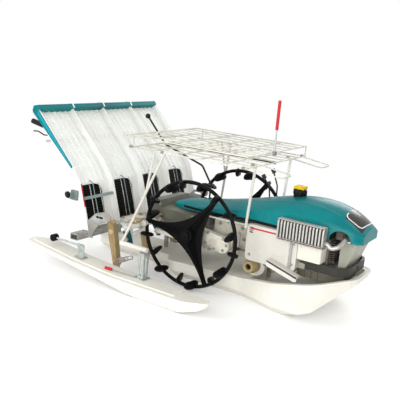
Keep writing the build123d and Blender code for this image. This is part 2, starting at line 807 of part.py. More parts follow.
wire_radius = 2.5
with BuildPart() as mat_guides:
    for row in range(row_count):
        wire_y = table_right + row * row_pitch + belt_margin + 0.55 * belt_width
        top_x = line_at(table_line, belt_top + 20)
        low_x = line_at(table_line, belt_floor - 8)
        route = [(top_x, wire_y, belt_top + 20), (top_x + 30, wire_y, belt_top + 10),
                 (low_x + 30, wire_y, belt_floor + 12), (low_x, wire_y, belt_floor - 8)]
        add(bent_rod(route, wire_radius, 9))
    bar_z = 452.0
    bar_x = line_at(wall_line, bar_z)
    add(block(bar_x - 24, bar_x - 10, table_right + wall_thickness, table_right + row_pitch - 6,
              bar_z - 8, bar_z + 8))
    knob_y = table_right - 46
    knob_x = line_at(wall_line, 470) - 70
    add(block(knob_x - 12, knob_x + 36, table_right - 18, table_right, 440, 500))
    add(block(knob_x - 8, knob_x + 16, knob_y, table_right - 18, 452, 486))
    add(seedling_table.part, mode=Mode.SUBTRACT)
save(mat_guides.part, "mat_guides")

# ---- handles ------------------------------------------------------------------------------
support_half = 562.0
rod_run = step_off(table_line[:2], -(table_plate + side_gap + post_radius))
support_x = (rod_run[0][0] + rod_run[1][0]) / 2
support_z = (rod_run[0][1] + rod_run[1][1]) / 2
tube_route = [(beam_x, beam_z - beam_side / 2), (beam_x, 272.0), (-470.0, 214.0), (-640.0, 176.0),
              (-830.0, 250.0), (-1110.0, 690.0), (-1210.0, 786.0), (-1292.0, 800.0)]
grip_end = (-1415.0, 821.0)
with BuildPart() as handlebars:
    for side in (-1, 1):
        add(bent_rod([(x, side * handle_y, z) for x, z in tube_route], handle_radius, 50))
        knee = (tube_route[5][0] * 0.45 + tube_route[4][0] * 0.55, side * handle_y,
                tube_route[5][1] * 0.45 + tube_route[4][1] * 0.55)
        add(bent_rod([knee, (support_x, side * handle_y, support_z)], post_radius, 0))
    for x, z, radius, half in ((support_x, support_z, post_radius, support_half), (-1110.0, 690.0, 10, handle_y)):
        with Locations(Plane.XZ):
            with Locations((x, z, 0)):
                Cylinder(radius, 2 * half)
save(handlebars.part, "handlebars")

with BuildPart() as grips:
    for side in (-1, 1):
        end = tube_route[-1]
        add(bent_rod([(end[0], side * handle_y, end[1]), (grip_end[0], side * handle_y, grip_end[1])],
                     grip_radius, 0))
save(grips.part, "handle_grips")

# ---- rack, its posts and the marker pole --------------------------------------------------
pole_x = rack_front + 16
pole_y = -100.0
pole_foot = rack_top_z
rod_length = 133.0  # from the pivot up to the sleeve
pole_radius = 5.0
sleeve_radius = 9.0
sleeve_length = 165.0
pole_pin = 4.0
rack_lines = 9
rack_crossings = 6
for name, rear, front, height in (
    ("rack_upper", rack_rear, rack_front, rack_top_z),
    ("rack_lower", rack_low_rear, rack_front, rack_low_z),
):
    with BuildPart() as rack_tier:
        for line in range(rack_lines):
            wire_y = -rack_half + line * 2 * rack_half / (rack_lines - 1)
            with Locations(((rear + front) / 2, wire_y, height)):
                Cylinder(rack_wire, front - rear, rotation=(0, 90, 0))
        for line in range(rack_crossings):
            wire_x = rear + line * (front - rear) / (rack_crossings - 1)
            with Locations((wire_x, 0, height)):
                Cylinder(rack_wire, 2 * rack_half + 2 * rack_wire, rotation=(90, 0, 0))
        if name == "rack_lower":
            for side in (-1, 1):
                route = [(front, side * 340, height), (front + 190, side * 340, height - 24),
                         (front + 190, side * 200, height - 24), (front, side * 200, height)]
                add(bent_rod(route, rack_wire, 30))
        else:
            for side in (-1, 1):
                ear = pole_y + side * 11
                add(block(rack_front - 8, pole_x + 10, ear - 3, ear + 3, pole_foot - 12, pole_foot + 10))
            with Locations((pole_x, pole_y, pole_foot)):
                Cylinder(pole_pin + running_fit, 60, rotation=(90, 0, 0), mode=Mode.SUBTRACT)
    save(rack_tier.part, name)
rack_lower = rack_tier.part

post_y = rack_half * 0.6
post_foot = (330.0, 445.0)
post_head = (354.0, rack_low_z)
strut_foot = (-306.0, float_arm_y - 7, float_arm_z + float_arm_radius)
strut_head = (-165.0, rack_half, rack_low_z)
brace_head = (-238.0, rack_half, rack_low_z)
brace_share = 0.55
with BuildPart() as rack_posts:
    for side in (-1, 1):
        add(bent_rod([(post_foot[0], side * post_y, post_foot[1]), (post_head[0], side * post_y, post_head[1])],
                     post_radius, 0))
        knee = [foot + brace_share * (head - foot) for foot, head in zip(strut_foot, strut_head)]
        for low, high, radius in ((strut_foot, strut_head, post_radius), (knee, brace_head, post_radius * 0.8)):
            add(bent_rod([(x, side * y, z) for x, y, z in (low, high)], radius, 0))
        for x, y in ((rack_front, rack_half), (rack_low_rear, rack_half)):
            with Locations((x, side * y, (rack_low_z + rack_top_z) / 2)):
                Cylinder(rack_wire, rack_top_z - rack_low_z - 2 * rack_wire - 2 * side_gap)
    with Locations((post_foot[0], 0, post_foot[1])):
        Cylinder(10, 2 * post_y, rotation=(90, 0, 0))
    add(block(post_foot[0] - 10, post_foot[0] + 10, -30, 30, 250, post_foot[1]))
    for side in (-1, 1):
        add(block(post_foot[0] - 10, post_foot[0] + 10, min(0, side * rail_y), max(0, side * rail_y),
                  base_floor, base_floor + 12))
    add(rack_lower, mode=Mode.SUBTRACT)
    add(planting_beam.part, mode=Mode.SUBTRACT)
    add(side_cover.part, mode=Mode.SUBTRACT)
save(rack_posts.part, "rack_posts")

with BuildPart() as marker_pole:
    with Locations((pole_x, pole_y, pole_foot)):
        Cylinder(pole_pin, 30, rotation=(90, 0, 0))
        Cylinder(7, 14, rotation=(90, 0, 0))
        Cylinder(pole_radius, rod_length, align=(Align.CENTER, Align.CENTER, Align.MIN))
save(marker_pole.part, "marker_pole")
with BuildPart() as pole_sleeve:
    with Locations((pole_x, pole_y, pole_foot + rod_length)):
        Cylinder(sleeve_radius, sleeve_length, align=(Align.CENTER, Align.CENTER, Align.MIN))
save(pole_sleeve.part, "pole_sleeve")

# ---- levers and float brackets ------------------------------------------------------------
lever_route = [(-66, 0, 412), (-66, 0, 590), (-140, 0, 696), (-440, 0, 786), (-595, 0, 950)]
lever_stand_rear = 246.0
lever_stand_floor = 436.0
lever_stand_top = 470.0
lever_stand_y = 205.0
control_routes = [
    [(262, lever_stand_y, 460), (240, lever_stand_y, 600), (196, lever_stand_y, 660)],
    [(300, lever_stand_y, 460), (294, lever_stand_y, 620), (258, lever_stand_y, 706)],
]
with BuildPart() as control_stand:
    add(block(lever_stand_rear, post_foot[0] - 10 - side_gap, lever_stand_y - 6, lever_stand_y + 6,
              lever_stand_floor, lever_stand_top))
    for route in control_routes:
        add(bent_rod(route, 4.5, 30))
        knob_x, knob_y, knob_z = route[-1]
        add(bent_rod([(knob_x + 8, knob_y, knob_z - 10), (knob_x - 8, knob_y, knob_z + 12)], 13, 0))

clutch_pivot = (-1226.0, 745.0)
with BuildPart() as clutch_levers:
    for side in (-1, 1):
        y = side * handle_y
        x, z = clutch_pivot
        add(block(x - 12, x + 12, y - 5, y + 5, z - 14, z + 34))
        add(bent_rod([(x, y, z - 2), (-1300, y, 738), (-1360, y, 756), (-1404, y, 752)], 4.5, 20))
    add(handlebars.part, mode=Mode.SUBTRACT)

with BuildPart() as gear_lever:
    add(bent_rod(lever_route, 6, 40))
    with Locations(lever_route[-1]):
        Sphere(17)

with BuildPart() as levers:
    for piece in (gear_lever, control_stand, clutch_levers):
        for solid in piece.part.solids():
            add(solid)
save(levers.part, "levers")

bracket_wall = 4.0
slot_width = 14.0
roller_x = -822.0
roller_z = 180.0
roller_radius = 20.0
heel_x = -600.0  # the rear bracket of a side float
heel_floor = 98.0 + deck_height
bracket_foot = deck_top + side_gap
with BuildPart() as float_brackets:
    for side in (-1, 1):
        y = side * float_arm_y
        rear = bracket_x - bracket_length
        add(block(rear - 26, bracket_x + 16, y - 34, y + 30, bracket_foot, bracket_foot + 5))
        for wall in (-1, 1):
            wall_y = y + wall * (bracket_half - bracket_wall / 2)
            add(block(rear, bracket_x, wall_y - bracket_wall / 2, wall_y + bracket_wall / 2, bracket_foot,
                      bracket_top))
        add(block(bracket_x - bracket_wall, bracket_x, y - bracket_half, y + bracket_half, bracket_foot,
                  bracket_top))
        add(block(rear, bracket_x, y - bracket_half, y + bracket_half, bracket_top - 5, bracket_top))
        slot_low, slot_high = bracket_foot + 22, bracket_top - 22
        slot_x = (rear + bracket_x) / 2
        add(block(slot_x - slot_width / 2, slot_x + slot_width / 2, y - 40, y + 40, slot_low, slot_high),
            mode=Mode.SUBTRACT)
        add(block(bracket_x - 10, bracket_x + 1, y - slot_width / 2, y + slot_width / 2, slot_low, slot_high),
            mode=Mode.SUBTRACT)
        add(bent_rod([(rear - 20, side * (float_arm_y + 26), bracket_foot + 5),
                      (rear - 180, side * (float_arm_y + 42), bracket_foot + 9)], 3.5, 0))
        add(bent_rod([(rear - 180, side * (float_arm_y + 42), bracket_foot + 9),
                      (rear - 222, side * (float_arm_y + 46), bracket_foot + 10)], 8, 0))
    for side in (-1, 1):
        y = side * (float_arm_y + 34)
        add(block(heel_x - 30, heel_x + 40, y - 26, y + 26, heel_floor, heel_floor + 5))
        add(block(heel_x - 20, heel_x + 30, y - 3, y + 3, heel_floor + 5, heel_floor + 84))
        add(bent_rod([(heel_x, y, heel_floor + 74), (roller_x, y, roller_z)], 7, 0))
        with Locations((roller_x, y, roller_z)):
            Cylinder(roller_radius, 40, rotation=(90, 0, 0))
    add(block(-382, -362, -12, 12, 101, beam_z - 20))
    add(block(392, 412, -12, 12, 100, rail_floor))
    add(centre_float_body.part, mode=Mode.SUBTRACT)
    for side_float_part in side_floats:
        add(side_float_part, mode=Mode.SUBTRACT)
save(float_brackets.part, "float_brackets")
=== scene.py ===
import json
from math import cos, pi, radians, sin, tan

import bmesh
import bpy
from mathutils import Euler, Matrix, Vector
from mathutils.bvhtree import BVHTree


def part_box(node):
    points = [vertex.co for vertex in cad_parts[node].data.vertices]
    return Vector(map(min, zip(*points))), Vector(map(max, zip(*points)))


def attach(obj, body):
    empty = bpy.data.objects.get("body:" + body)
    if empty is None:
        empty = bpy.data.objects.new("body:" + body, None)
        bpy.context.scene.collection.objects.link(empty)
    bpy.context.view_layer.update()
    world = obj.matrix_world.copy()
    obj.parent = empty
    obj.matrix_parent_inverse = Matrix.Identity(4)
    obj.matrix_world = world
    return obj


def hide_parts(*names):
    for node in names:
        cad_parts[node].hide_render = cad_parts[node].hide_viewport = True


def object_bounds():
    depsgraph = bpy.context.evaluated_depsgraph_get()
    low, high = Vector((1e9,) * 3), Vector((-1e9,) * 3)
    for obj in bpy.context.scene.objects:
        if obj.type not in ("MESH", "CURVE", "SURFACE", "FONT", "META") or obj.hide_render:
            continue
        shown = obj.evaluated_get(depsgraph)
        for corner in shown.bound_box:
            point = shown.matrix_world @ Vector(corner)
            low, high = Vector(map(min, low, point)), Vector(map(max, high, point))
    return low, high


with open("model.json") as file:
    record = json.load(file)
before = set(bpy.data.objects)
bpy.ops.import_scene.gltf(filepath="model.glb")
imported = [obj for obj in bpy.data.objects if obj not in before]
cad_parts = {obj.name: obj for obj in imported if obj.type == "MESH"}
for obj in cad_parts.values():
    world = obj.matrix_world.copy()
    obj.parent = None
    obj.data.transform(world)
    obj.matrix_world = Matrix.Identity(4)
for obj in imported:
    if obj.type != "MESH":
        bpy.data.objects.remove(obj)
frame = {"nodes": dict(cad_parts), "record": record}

# A four-row walk-behind rice transplanter. Metres, +X forward, +Y the machine's left, +Z up.
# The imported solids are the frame. Each function below dresses them with one piece or a few.

cad_low, cad_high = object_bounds()
scene = bpy.context.scene
scene.view_settings.view_transform = "Standard"
SIDES = (("right", -1), ("left", 1))
FORWARD, BACKWARD = (1, 0, 0), (-1, 0, 0)
LEFTWARD, RIGHTWARD = (0, 1, 0), (0, -1, 0)
UP, DOWN = (0, 0, 1), (0, 0, -1)
WHITE = (1, 1, 1, 1)


# ---- shader helpers ----------------------------------------------------------------------
def shade(code):
    """A colour from its six-figure code, as a shader wants it."""
    parts = [int(code[i : i + 2], 16) / 255 for i in (0, 2, 4)]
    return (*[p / 12.92 if p <= 0.04045 else ((p + 0.055) / 1.055) ** 2.4 for p in parts], 1.0)


class Value:
    """A number, colour, direction or shader that comes out of a node."""

    def __init__(self, graph, socket):
        self.graph = graph
        self.socket = socket

    def __add__(self, other):
        return self.graph.maths("ADD", self, other)

    def __sub__(self, other):
        return self.graph.maths("SUBTRACT", self, other)

    def __rsub__(self, other):
        return self.graph.maths("SUBTRACT", other, self)

    def __mul__(self, other):
        return self.graph.maths("MULTIPLY", self, other)

    __radd__ = __add__
    __rmul__ = __mul__

    def between(self, low, high):
        """Nought below the low value, one above the high value, and smooth between them."""
        return self.graph.value(
            "MapRange",
            {"interpolation_type": "SMOOTHSTEP"},
            {"Value": self, "From Min": low, "From Max": high},
        )


class Graph:
    """The nodes of a finish or of the sky."""

    def __init__(self, owner):
        owner.use_nodes = True
        self.tree = owner.node_tree
        self.tree.nodes.clear()

    def node(self, kind, settings=(), sockets=()):
        """Adds a node: its settings come first, then the numbers or links of its sockets."""
        made = self.tree.nodes.new("ShaderNode" + kind)
        for name, setting in dict(settings).items():
            setattr(made, name, setting)
        for name, value in dict(sockets).items():
            if isinstance(value, Value):
                self.tree.links.new(value.socket, made.inputs[name])
            else:
                made.inputs[name].default_value = value
        return made

    def value(self, kind, settings=(), sockets=(), out=0):
        return Value(self, self.node(kind, settings, sockets).outputs[out])

    def maths(self, operation, first, second):
        return self.value("Math", {"operation": operation}, {0: first, 1: second})

    def surroundings(self):
        """One for the rays that see the white surroundings: straight, mirrored or through glass."""
        rays = self.node("LightPath")
        straight, mirrored, through = (
            Value(self, rays.outputs[f"Is {kind} Ray"]) for kind in ("Camera", "Glossy", "Transmission")
        )
        return self.maths("MAXIMUM", self.maths("MAXIMUM", straight, mirrored), through)


class Finish(Graph):
    """The nodes of one finish, laid over the object's own coordinates."""

    def __init__(self, name):
        self.material = bpy.data.materials.new(name)
        super().__init__(self.material)
        self.place = self.value("TexCoord", out="Object")

    def edge(self):
        """Above a half on outer edges and below it in hollows."""
        return self.value("NewGeometry", out="Pointiness")

    def noise(self, size, detail=4, stretch=(1, 1, 1), seed=0.0):
        """Soft random spots of about the given size."""
        moved = self.value(
            "Mapping", (), {"Vector": self.place, "Location": (seed, seed, seed), "Scale": stretch}
        )
        return self.value(
            "TexNoise", (), {"Vector": moved, "Scale": 1 / size, "Detail": detail, "Roughness": 0.6}
        )

    def spangle(self, size):
        """Flat grains of random brightness, as zinc has."""
        grains = self.value("TexVoronoi", (), {"Vector": self.place, "Scale": 1 / size}, "Color")
        return self.value("RGBToBW", (), {0: grains})

    def mix(self, share, first, second):
        """A colour between two colours."""
        return self.value("Mix", {"data_type": "RGBA"}, {"Factor": share, 6: first, 7: second}, 2)

    def facing_up(self):
        """How far the surface faces up."""
        normal = self.value("TexCoord", out="Normal")
        return self.value("SeparateXYZ", (), {0: normal}, "Z")

    def surface(self, colour, roughness, height, depth, strength, **constants):
        """Closes the graph with a shader, whose other sockets are given by name."""
        sockets = {name.replace("_", " "): value for name, value in constants.items()}
        bump = {"Strength": strength, "Distance": depth, "Height": height}
        sockets |= {"Base Color": colour, "Roughness": roughness, "Normal": self.value("Bump", (), bump)}
        shader = self.value("BsdfPrincipled", (), sockets)
        self.node("OutputMaterial", (), {0: shader})
        return self.material


# ---- finishes ----------------------------------------------------------------------------
def painted(name, colour, faded, bare, roughness, wear=0.5, dusty=0.3, coat=0.0, peel=0.25, gloss=0.4):
    """Sprayed paint: faded in broad patches, chipped at its edges and dusty where it lies flat."""
    f = Finish(name)
    patches = f.noise(0.22, 3).between(0.35, 0.7)
    specks = f.noise(0.008, 6, seed=3.0)
    base = f.mix(patches, shade(colour), shade(faded))
    chips = (f.edge() + 0.05 * specks).between(0.545, 0.6) * wear
    base = f.mix(chips, base, shade(bare))
    lying = f.facing_up().between(0.25, 0.95) * f.noise(0.06, 5, seed=7.0).between(0.45, 0.75)
    dusting = lying * dusty
    base = f.mix(dusting, base, shade("a89c84"))
    return f.surface(
        base,
        roughness + 0.25 * dusting + 0.12 * specks,
        f.noise(0.004, 2),
        depth=0.0004,
        strength=peel,
        Coat_Weight=coat,
        Coat_Roughness=0.12,
        Specular_IOR_Level=gloss,
    )


def moulded(name, colour, shadow, roughness, grain=0.0012, dirt="8d8672", dirty=0.3, gloss=0.4):
    """Moulded plastic: fine grain, dirt in the hollows and light scuffs."""
    f = Finish(name)
    broad = f.noise(0.3, 3).between(0.3, 0.75)
    streaks = f.noise(0.03, 5, stretch=(1, 1, 0.25), seed=2.0).between(0.5, 0.8)
    hollows = 1 - f.edge().between(0.42, 0.5)
    base = f.mix(broad, shade(colour), shade(shadow))
    base = f.mix((streaks * 0.5 + hollows * 0.6) * dirty, base, shade(dirt))
    grit = f.noise(grain, 2, seed=5.0)
    return f.surface(
        base,
        roughness + 0.15 * streaks + 0.08 * grit,
        grit + 2.0 * streaks,
        depth=0.0004,
        strength=0.35,
        Specular_IOR_Level=gloss,
    )


def plated(name, colour, stain, roughness, stained=0.5, metallic=0.85):
    """Plated or bare steel: spangled, stained and a little rusty at its edges."""
    f = Finish(name)
    stains = f.noise(0.05, 6, seed=4.0).between(0.48, 0.75) * stained
    base = f.mix(f.spangle(0.012) * 0.25, shade(colour), shade(stain))
    base = f.mix(stains, base, shade(stain))
    rust = (f.edge() + 0.08 * f.noise(0.006, 5)).between(0.57, 0.63) * 0.5
    base = f.mix(rust, base, shade("6b4a2e"))
    marks = f.noise(0.003, 3)
    return f.surface(
        base,
        roughness + 0.2 * stains + 0.12 * marks,
        marks,
        depth=0.0003,
        strength=0.3,
        Metallic=metallic * (1 - 0.8 * rust),
    )


def cast(name, colour, dark, roughness, metallic):
    """Sand-cast metal: pitted, oily in its hollows and rubbed bright at its edges."""
    f = Finish(name)
    pits = f.noise(0.0025, 4)
    oil = f.noise(0.07, 5, seed=6.0).between(0.45, 0.75)
    base = f.mix(oil * 0.7, shade(colour), shade(dark))
    base = f.mix((1 - f.edge().between(0.44, 0.52)) * 0.5, base, shade(dark))
    base = f.mix(f.edge().between(0.54, 0.6) * 0.35, base, shade("b9b4a6"))
    return f.surface(
        base, roughness - 0.2 * oil + 0.1 * pits, pits, depth=0.0012, strength=0.5, Metallic=metallic
    )


def rubber(name, colour, dust):
    """Moulded rubber: gritty, filmed with dust and greyer where it rubs."""
    f = Finish(name)
    film = f.noise(0.04, 6).between(0.45, 0.8)
    base = f.mix(film * 0.2, shade(colour), shade(dust))
    base = f.mix(f.edge().between(0.52, 0.6) * 0.15, base, shade("333331"))
    grit = f.noise(0.0022, 3, seed=1.0)
    return f.surface(
        base, 0.5 + 0.2 * film - 0.1 * grit, grit, depth=0.0006, strength=0.4, Specular_IOR_Level=0.1
    )


FINISHES = {
    "float": moulded("float_resin", "e9e7de", "dedbd0", 0.42, grain=0.004, dirt="b5ad97", dirty=0.35),
    "black_rubber": rubber("tyre_rubber", "040405", "1f1c17"),
    "zinc": plated("zinc_plate", "c2cac7", "76827e", 0.36, metallic=0.55),
    "grey_casting": cast("grey_casting", "dcd9cb", "958f7b", 0.5, metallic=0.15),
    "olive_paint": painted("olive_paint", "d6d8c9", "b6b8a5", "6d6a5f", 0.42),
    "dark_casting": cast("engine_casting", "4a3d33", "1c1612", 0.55, metallic=0.2),
    "teal_paint": painted(
        "teal_paint", "007b7e", "006d72", "6fa5a3", 0.3,
        wear=0.15, dusty=0.03, coat=0.12, peel=0.05, gloss=0.1,
    ),
    "smoke_plastic": moulded("smoke_plastic", "38332e", "272320", 0.16, dirt="1d1a17"),
    "black_plastic": moulded(
        "black_plastic", "070708", "0d0d0c", 0.42, dirt="2a2822", dirty=0.2, gloss=0.2
    ),
    "bright_steel": plated("bright_steel", "d8d8d4", "96948c", 0.28),
    "chrome": plated("chrome_pipe", "b9b8b1", "6e675a", 0.26, stained=0.6, metallic=0.9),
    "white_paint": painted("white_paint", "eeede6", "e3e1d7", "8d8577", 0.38, wear=0.4, dusty=0.12),
    "white_plastic": moulded("white_plastic", "f0f1ee", "e8e8e3", 0.4, dirt="b3ad9a", dirty=0.25),
    "dark_paint": painted("dark_paint", "101213", "0b0c0d", "4a4944", 0.4, dusty=0.12, gloss=0.2),
    "brass_zinc": plated("yellow_zinc", "cdba8a", "8f7a4c", 0.42, metallic=0.35),
    "grey_paint": painted("grey_paint", "7d8071", "63665a", "4d4b42", 0.4),
    "teal_plastic": moulded("teal_plastic", "00787b", "006469", 0.32, dirt="1f5654", dirty=0.15, gloss=0.1),
    "red_plastic": moulded("red_plastic", "c8131d", "b01018", 0.35, dirt="6d2b28", dirty=0.25),
}
CYAN = moulded("cyan_trim_plastic", "0092a6", "007f93", 0.3, dirt="1b6f80", dirty=0.2, gloss=0.3)
STEEL_GREY = painted("steel_grey_paint", "93a5a3", "7b8c8a", "565f5d", 0.4)
WIRE_COATING = painted("wire_coating", "dddbce", "bdbbad", "6f6b5e", 0.45, wear=0.8)
BOX_PLASTIC = moulded("box_plastic", "e6e3d7", "d8d4c5", 0.45, dirt="a39c86")
DARK_OLIVE = painted("dark_olive_paint", "4d4f41", "37382e", "77705c", 0.5, dusty=0.4)
YELLOW = moulded("yellow_cap_plastic", "e8c400", "d3ae00", 0.4, dirt="8c7720")

# Four nodes have a shade of their own within their slot.
OWN_SHADES = {
    "mat_guides": STEEL_GREY,
    "rack_upper": WIRE_COATING,
    "rack_lower": WIRE_COATING,
    "air_box": BOX_PLASTIC,
}
for subpart in frame["record"]["subparts"]:
    name = subpart["node"]
    materials = frame["nodes"][name].data.materials
    materials.clear()
    materials.append(OWN_SHADES.get(name) or FINISHES[subpart["material_slot"]])


# ---- shape helpers -----------------------------------------------------------------------
def spaced(low, high, count):
    """Numbers in even steps from the low to the high one."""
    return [low + (high - low) * index / (count - 1) for index in range(count)]


def turns(count, first=0.0):
    """Angles in even steps all the way round."""
    return [first + 2 * pi * index / count for index in range(count)]


def evenly(start, end, count):
    """Points in even steps from the start to the end."""
    return [Vector(start).lerp(Vector(end), share) for share in spaced(0, 1, count)]


def arch(start, peak, end, shares):
    """Points on the curve that leaves its start and meets its end towards the peak."""
    return [start.lerp(peak, share).lerp(peak.lerp(end, share), share) for share in shares]


def rounded(points, bend):
    """A line of points with its corners rounded."""
    points = [Vector(p) for p in points]
    line = [points[0]]
    for before, corner, after in zip(points, points[1:], points[2:]):
        reach = min(bend, 0.49 * (corner - before).length, 0.49 * (after - corner).length)
        start = corner + (before - corner).normalized() * reach
        end = corner + (after - corner).normalized() * reach
        line += arch(start, corner, end, spaced(0, 1, 6))
    line.append(points[-1])
    return line


def read_off(line, at):
    """The second value of a line of pairs, where its first value is the given one."""
    for (low, value_low), (high, value_high) in zip(line, line[1:]):
        if at <= high:
            return value_low + (value_high - value_low) * (at - low) / (high - low)


def ellipse(width, height, sides, squareness=2.0):
    """The corners of an ellipse, or of a rounded box where the squareness is higher."""
    corners = []
    for turn in turns(sides, pi / sides):
        across = abs(cos(turn)) ** (2 / squareness) * (1 if cos(turn) > 0 else -1)
        up = abs(sin(turn)) ** (2 / squareness) * (1 if sin(turn) > 0 else -1)
        corners.append((across * width / 2, up * height / 2))
    return corners


# How far the edges of pressed sheet, and of thicker pieces, are rounded off.
SHEET_EDGE = 0.0008
THICK_EDGE = 0.001


class Shape:
    """Gathers the plates, tubes and turned forms that make one piece, each call adding one."""

    def __init__(self):
        self.mesh = bmesh.new()

    def skin(self, rings, closed=False):
        """Joins rings of corners, one after the other, and caps both ends unless it is closed."""
        made = [[self.mesh.verts.new(corner) for corner in ring] for ring in rings]
        pairs = list(zip(made, made[1:])) + ([(made[-1], made[0])] if closed else [])
        for first, second in pairs:
            for index in range(len(first)):
                after = (index + 1) % len(first)
                self.mesh.faces.new((first[index], first[after], second[after], second[index]))
        if not closed:
            self.mesh.faces.new(made[0][::-1])
            self.mesh.faces.new(made[-1])
        return self

    def tube(self, points, radius, bend=0.02, sides=10):
        """A round rod along a line of points with rounded corners."""
        line = rounded(points, bend) if len(points) > 2 else [Vector(p) for p in points]
        across = (line[1] - line[0]).orthogonal()
        rings = []
        for index, point in enumerate(line):
            heading = line[min(index + 1, len(line) - 1)] - line[max(index - 1, 0)]
            heading.normalize()
            across = (across - heading * across.dot(heading)).normalized()
            side = heading.cross(across)
            circle = ellipse(2 * radius, 2 * radius, sides)
            rings.append([point + across * a + side * b for a, b in circle])
        return self.skin(rings)

    def slab(self, outline, near, far, axis="Y"):
        """A flat outline, thick from the near to the far value along an axis."""
        place = {
            "X": lambda a, b, depth: (depth, a, b),
            "Y": lambda a, b, depth: (a, depth, b),
            "Z": lambda a, b, depth: (a, b, depth),
        }[axis]
        return self.skin([[place(a, b, depth) for a, b in outline] for depth in (near, far)])

    def block(self, corner, opposite):
        """A square block between two opposite corners."""
        (x0, y0, z0), (x1, y1, z1) = corner, opposite
        return self.slab([(x0, z0), (x1, z0), (x1, z1), (x0, z1)], y0, y1)

    def turned(self, profile, centre, axis, sides=32):
        """A form turned round an axis, from pairs of place along the axis and radius."""
        centre = Vector(centre)
        axis = Vector(axis).normalized()
        across = axis.orthogonal().normalized()
        side = axis.cross(across)
        rings = []
        for along, radius in profile:
            circle = ellipse(2 * radius, 2 * radius, sides)
            rings.append([centre + axis * along + across * a + side * b for a, b in circle])
        return self.skin(rings)

    def bolt(self, place, axis, size):
        """A hexagon head on its washer."""
        washer = 0.0015
        wide, chamfer = size * 0.56, size * 0.46
        self.turned([(0, size * 0.8), (washer, size * 0.8)], place, axis, 16)
        self.turned([(washer, wide), (size * 0.45, wide), (size * 0.5, chamfer)], place, axis, 6)

    def add(self, other, matrix):
        """Takes in another shape, moved by a matrix."""
        other.mesh.transform(matrix)
        data = bpy.data.meshes.new("added")
        other.mesh.to_mesh(data)
        other.mesh.free()
        self.mesh.from_mesh(data)
        bpy.data.meshes.remove(data)
        return self

    def become(self, name, slot, body="chassis", replaced=(), bevel=0.0, angle=35, finish=None):
        """Turns the shape into a piece that rides on a body and may replace some nodes."""
        bmesh.ops.recalc_face_normals(self.mesh, faces=self.mesh.faces)
        data = bpy.data.meshes.new(name)
        self.mesh.to_mesh(data)
        self.mesh.free()
        data.shade_smooth()
        data.set_sharp_from_angle(angle=radians(angle))
        data.materials.append(finish or FINISHES[slot])
        piece = bpy.data.objects.new(name, data)
        scene.collection.objects.link(piece)
        if bevel:
            rounding = piece.modifiers.new("edges", "BEVEL")
            rounding.width = bevel
            rounding.segments = 2
            rounding.limit_method = "ANGLE"
            rounding.angle_limit = radians(40)
        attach(piece, body)
        if replaced:
            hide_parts(*replaced)


# ---- fitting things to the solids --------------------------------------------------------
# Further out than any side of the machine, to start lines that run in towards it.
OUTSIDE = 1.0


class Solid:
    """The surface of some CAD nodes, to lay trims and bolts on."""

    def __init__(self, *nodes):
        corners, faces = [], []
        for node in nodes:
            data = frame["nodes"][node].data
            first = len(corners)
            corners += [v.co.copy() for v in data.vertices]
            faces += [[first + index for index in face.vertices] for face in data.polygons]
        self.tree = BVHTree.FromPolygons(corners, faces)

    def touch(self, start, way):
        """Where a line from the start along the way meets the surface, and how that faces."""
        place, normal, _, _ = self.tree.ray_cast(Vector(start), Vector(way).normalized())
        return place, normal

    def strip(self, starts, way, width, height):
        """Rings of corners for a bevelled strip on the surface, along a line of starting points."""
        foot, shoulder = -0.002, height * 0.6
        section = ((-1, foot), (-1, shoulder), (-0.8, height), (0.8, height), (1, shoulder), (1, foot))
        run = [(place, normal) for place, normal in (self.touch(s, way) for s in starts) if place]
        rings = []
        for index, (place, normal) in enumerate(run):
            ahead, behind = run[min(index + 1, len(run) - 1)][0], run[max(index - 1, 0)][0]
            across = normal.cross((ahead - behind).normalized()).normalized()
            rings.append([place + across * a * width / 2 + normal * b for a, b in section])
        return rings


def bolted(name, node, starts, way, slot, size):
    """Bolt heads where lines from the starts meet a node."""
    surface = Solid(node)
    heads = Shape()
    for start in starts:
        place, normal = surface.touch(start, way)
        if place:
            heads.bolt(place, normal, size)
    heads.become(name, slot)


# ---- wheels ------------------------------------------------------------------------------
WHEEL_RADIUS = 0.33
RING_RADIUS = 0.316
RING_THICKNESS = 0.023
LUGS = 16
LUG_WIDTH, LUG_HEIGHT, LUG_THICKNESS = 0.112, 0.054, 0.03
LUG_SHIFT, LUG_SKEW = 0.024, radians(18)
SPOKES = 3
FIRST_SPOKE = radians(-63.8)
STAR_THICKNESS = 0.014
STAR_TIP, STAR_WAIST = 0.024, 0.012
HUB_RADIUS, HUB_WIDTH = 0.042, 0.076


def wheel_lug():
    """A leaf-shaped rubber paddle, fullest in its middle and bowed a little outward."""
    rings = []
    for share in spaced(-1, 1, 13):
        swell = 0.06 + 0.94 * (1 - abs(share) ** 2.4) ** 0.55
        bow = 0.003 * cos(share * pi)
        section = ellipse(LUG_THICKNESS * swell, LUG_HEIGHT * swell, 10, 2.6)
        rings.append([(a, share * LUG_WIDTH / 2, b + bow) for a, b in section])
    return Shape().skin(rings)


def star_outline():
    """Three narrow points on the ring, with edges that curve in towards the hub between them."""
    def out(turn, reach):
        return Vector((cos(turn), sin(turn))) * reach

    half_tip = STAR_TIP / 2 / RING_RADIUS
    step = 2 * pi / SPOKES
    outline = []
    for turn in turns(SPOKES, FIRST_SPOKE):
        start, end = out(turn + half_tip, RING_RADIUS), out(turn + step - half_tip, RING_RADIUS)
        outline.append(out(turn - half_tip, RING_RADIUS))
        outline += arch(start, out(turn + step / 2, STAR_WAIST), end, spaced(0, 1, 15)[:-1])
    return outline


